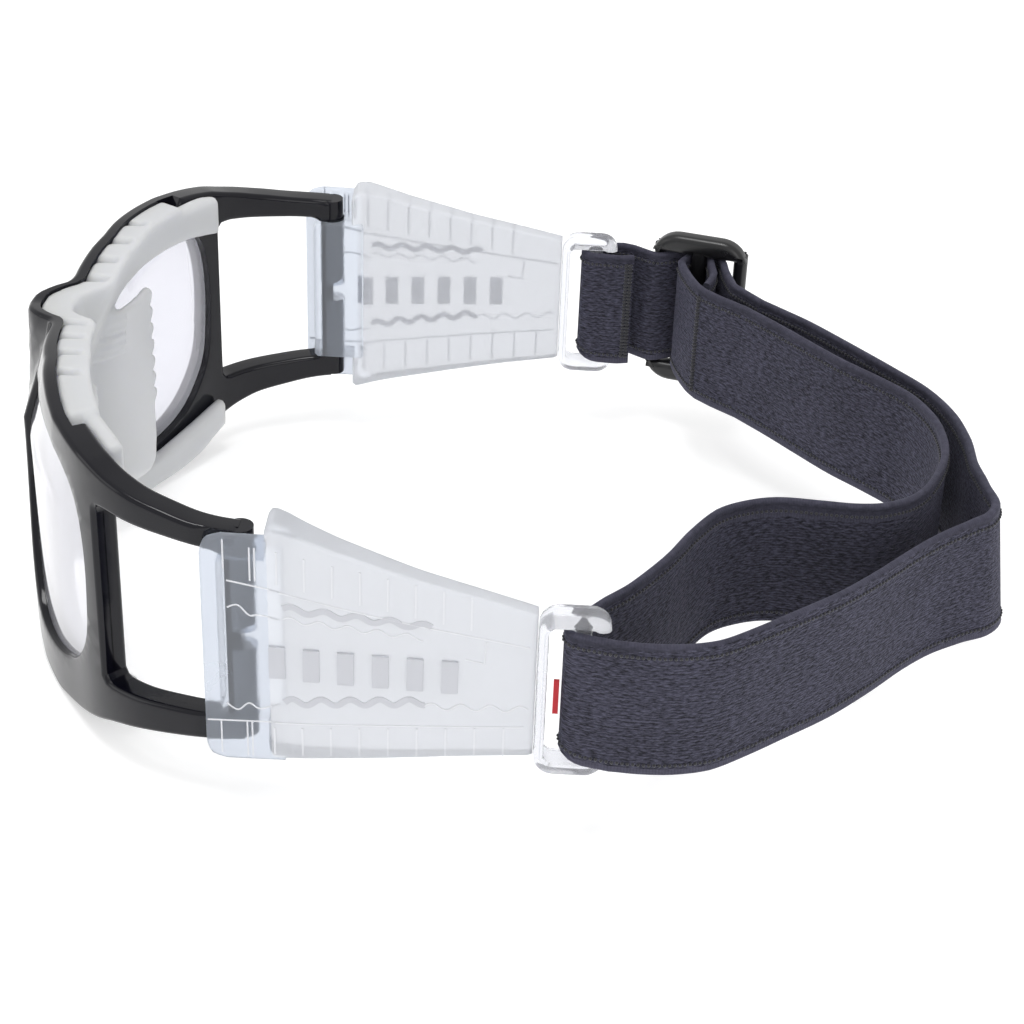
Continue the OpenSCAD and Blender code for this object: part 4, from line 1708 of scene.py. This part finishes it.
@dataclass
class Sewing:
    """The seams across the band and the small side label."""

    margin: float = 2.0

    def build(self, finishes: Finishes, rows: RowTree, band: Band) -> None:
        """Makes both seams and the label."""
        for name, at, body, node in (
            ("seam_buckle", (-67.0, 20.4), Body.RIGHT, "seam_right_loop"),
            ("seam_slider", band.from_slider((3.7, 13.6)), Body.SLIDER, "seam_slider_loop"),
        ):
            low, high = BAND_LOW + self.margin, BAND_LOW + BAND_WIDE - self.margin
            lines = [
                [(at[0] + dx, at[1] + dy, z) for z in (low, high)]
                for dx in (-0.85, 0.85)
                for dy in (-0.4, 0.4)
            ]
            seam = rows.lay(name, lines, 0.75, (0.4, 0.9, 0.7), finishes.thread)
            placed(dress(seam, finishes.thread), body, node)
        fold = round_box_ring(0.6, 6.6, 0.28, 3)
        tape = sweep([(69.5, y, 27.3) for y in np.linspace(9.35, 10.25, 4)], fold)
        label = tape.object("side_tape", 60)
        placed(dress(label, finishes.label), Body.LEFT, "side_label")


# ---- the studio -------------------------------------------------------------------------


@dataclass
class Studio:
    """Camera, pale floor and soft lights."""

    target: tuple[float, float, float] = (0, 0, 0.0185)
    azimuth: float = 91.42
    elevation: float = 31.41
    roll: float = 2.30
    distance: float = 0.42083
    lens: float = 79.44

    def camera(self) -> None:
        """Sets the camera over the goggles' left side."""
        az, el, ro = (math.radians(a) for a in (self.azimuth, self.elevation, self.roll))
        back = Vector((math.sin(az) * math.cos(el), -math.cos(az) * math.cos(el), math.sin(el)))
        across = Vector((math.cos(az), math.sin(az), 0))
        up = back.cross(across)
        right = across * math.cos(ro) + up * math.sin(ro)
        top = -across * math.sin(ro) + up * math.cos(ro)
        data = bpy.data.cameras.new("camera")
        data.lens = self.lens
        data.sensor_width = 36
        data.clip_start = 0.01
        cam = new_object("camera", data)
        turn = Matrix((right, top, back)).transposed().to_4x4()
        cam.matrix_world = Matrix.Translation(Vector(self.target) + back * self.distance) @ turn
        bpy.context.scene.camera = cam

    def area(self, name: str, at: tuple[float, float, float], size: float, power: float) -> None:
        """Adds one soft square light that looks at the goggles."""
        data = bpy.data.lights.new(name, "AREA")
        data.shape = "SQUARE"
        data.size = size
        data.energy = power
        lamp = new_object(name, data)
        lamp.location = at
        lamp.rotation_euler = (Vector(self.target) - Vector(at)).to_track_quat("-Z", "Y").to_euler()

    def build(self) -> None:
        """Makes the whole studio."""
        self.camera()
        world = bpy.data.worlds.new("studio")
        world.use_nodes = True
        sky = world.node_tree.nodes["Background"]
        sky.inputs["Color"].default_value = (1, 1, 1, 1)
        sky.inputs["Strength"].default_value = 0.8
        bpy.context.scene.world = world
        bpy.context.scene.view_settings.view_transform = "Standard"
        self.area("top", (0.1, -0.1, 0.9), 0.3, 2.6)
        self.area("side", (0.7, 0.3, 0.35), 0.5, 1.0)
        self.area("front", (0.2, -0.8, 0.4), 0.5, 0.8)
        self.floor()

    def floor(self) -> None:
        """Lays the pale floor just under the goggles."""
        reach, z = 3000.0, -0.05
        corners = [(-reach, -reach, z), (reach, -reach, z), (reach, reach, z), (-reach, reach, z)]
        ground = mesh_object("floor", corners, [(0, 1, 2, 3)])
        pale = bpy.data.materials.new("pale_floor")
        pale.use_nodes = True
        shader = pale.node_tree.nodes["Principled BSDF"]
        for key, value in (
            ("Base Color", (0.8, 0.8, 0.8, 1)),
            ("Emission Color", (1, 1, 1, 1)),
            ("Emission Strength", 0.4),
            ("Roughness", 0.9),
            ("Specular IOR Level", 0.1),
        ):
            shader.inputs[key].default_value = value
        ground.data.materials.append(pale)


def main() -> None:
    """Builds the goggles and the studio."""
    finishes = Finishes()
    rows = RowTree()
    FrontFrame().build(finishes)
    Lenses().build(finishes)
    FacePad().build(finishes)
    for side, body in ((Side.LEFT, Body.LEFT), (Side.RIGHT, Body.RIGHT)):
        Temple(side, body).build(finishes, rows)
        Buckle(side, body).build(finishes)
    band = Band()
    band.build(finishes, rows)
    Slider().build(finishes)
    Sewing().build(finishes, rows, band)
    Studio().build()


if __name__ == "__main__":
    main()
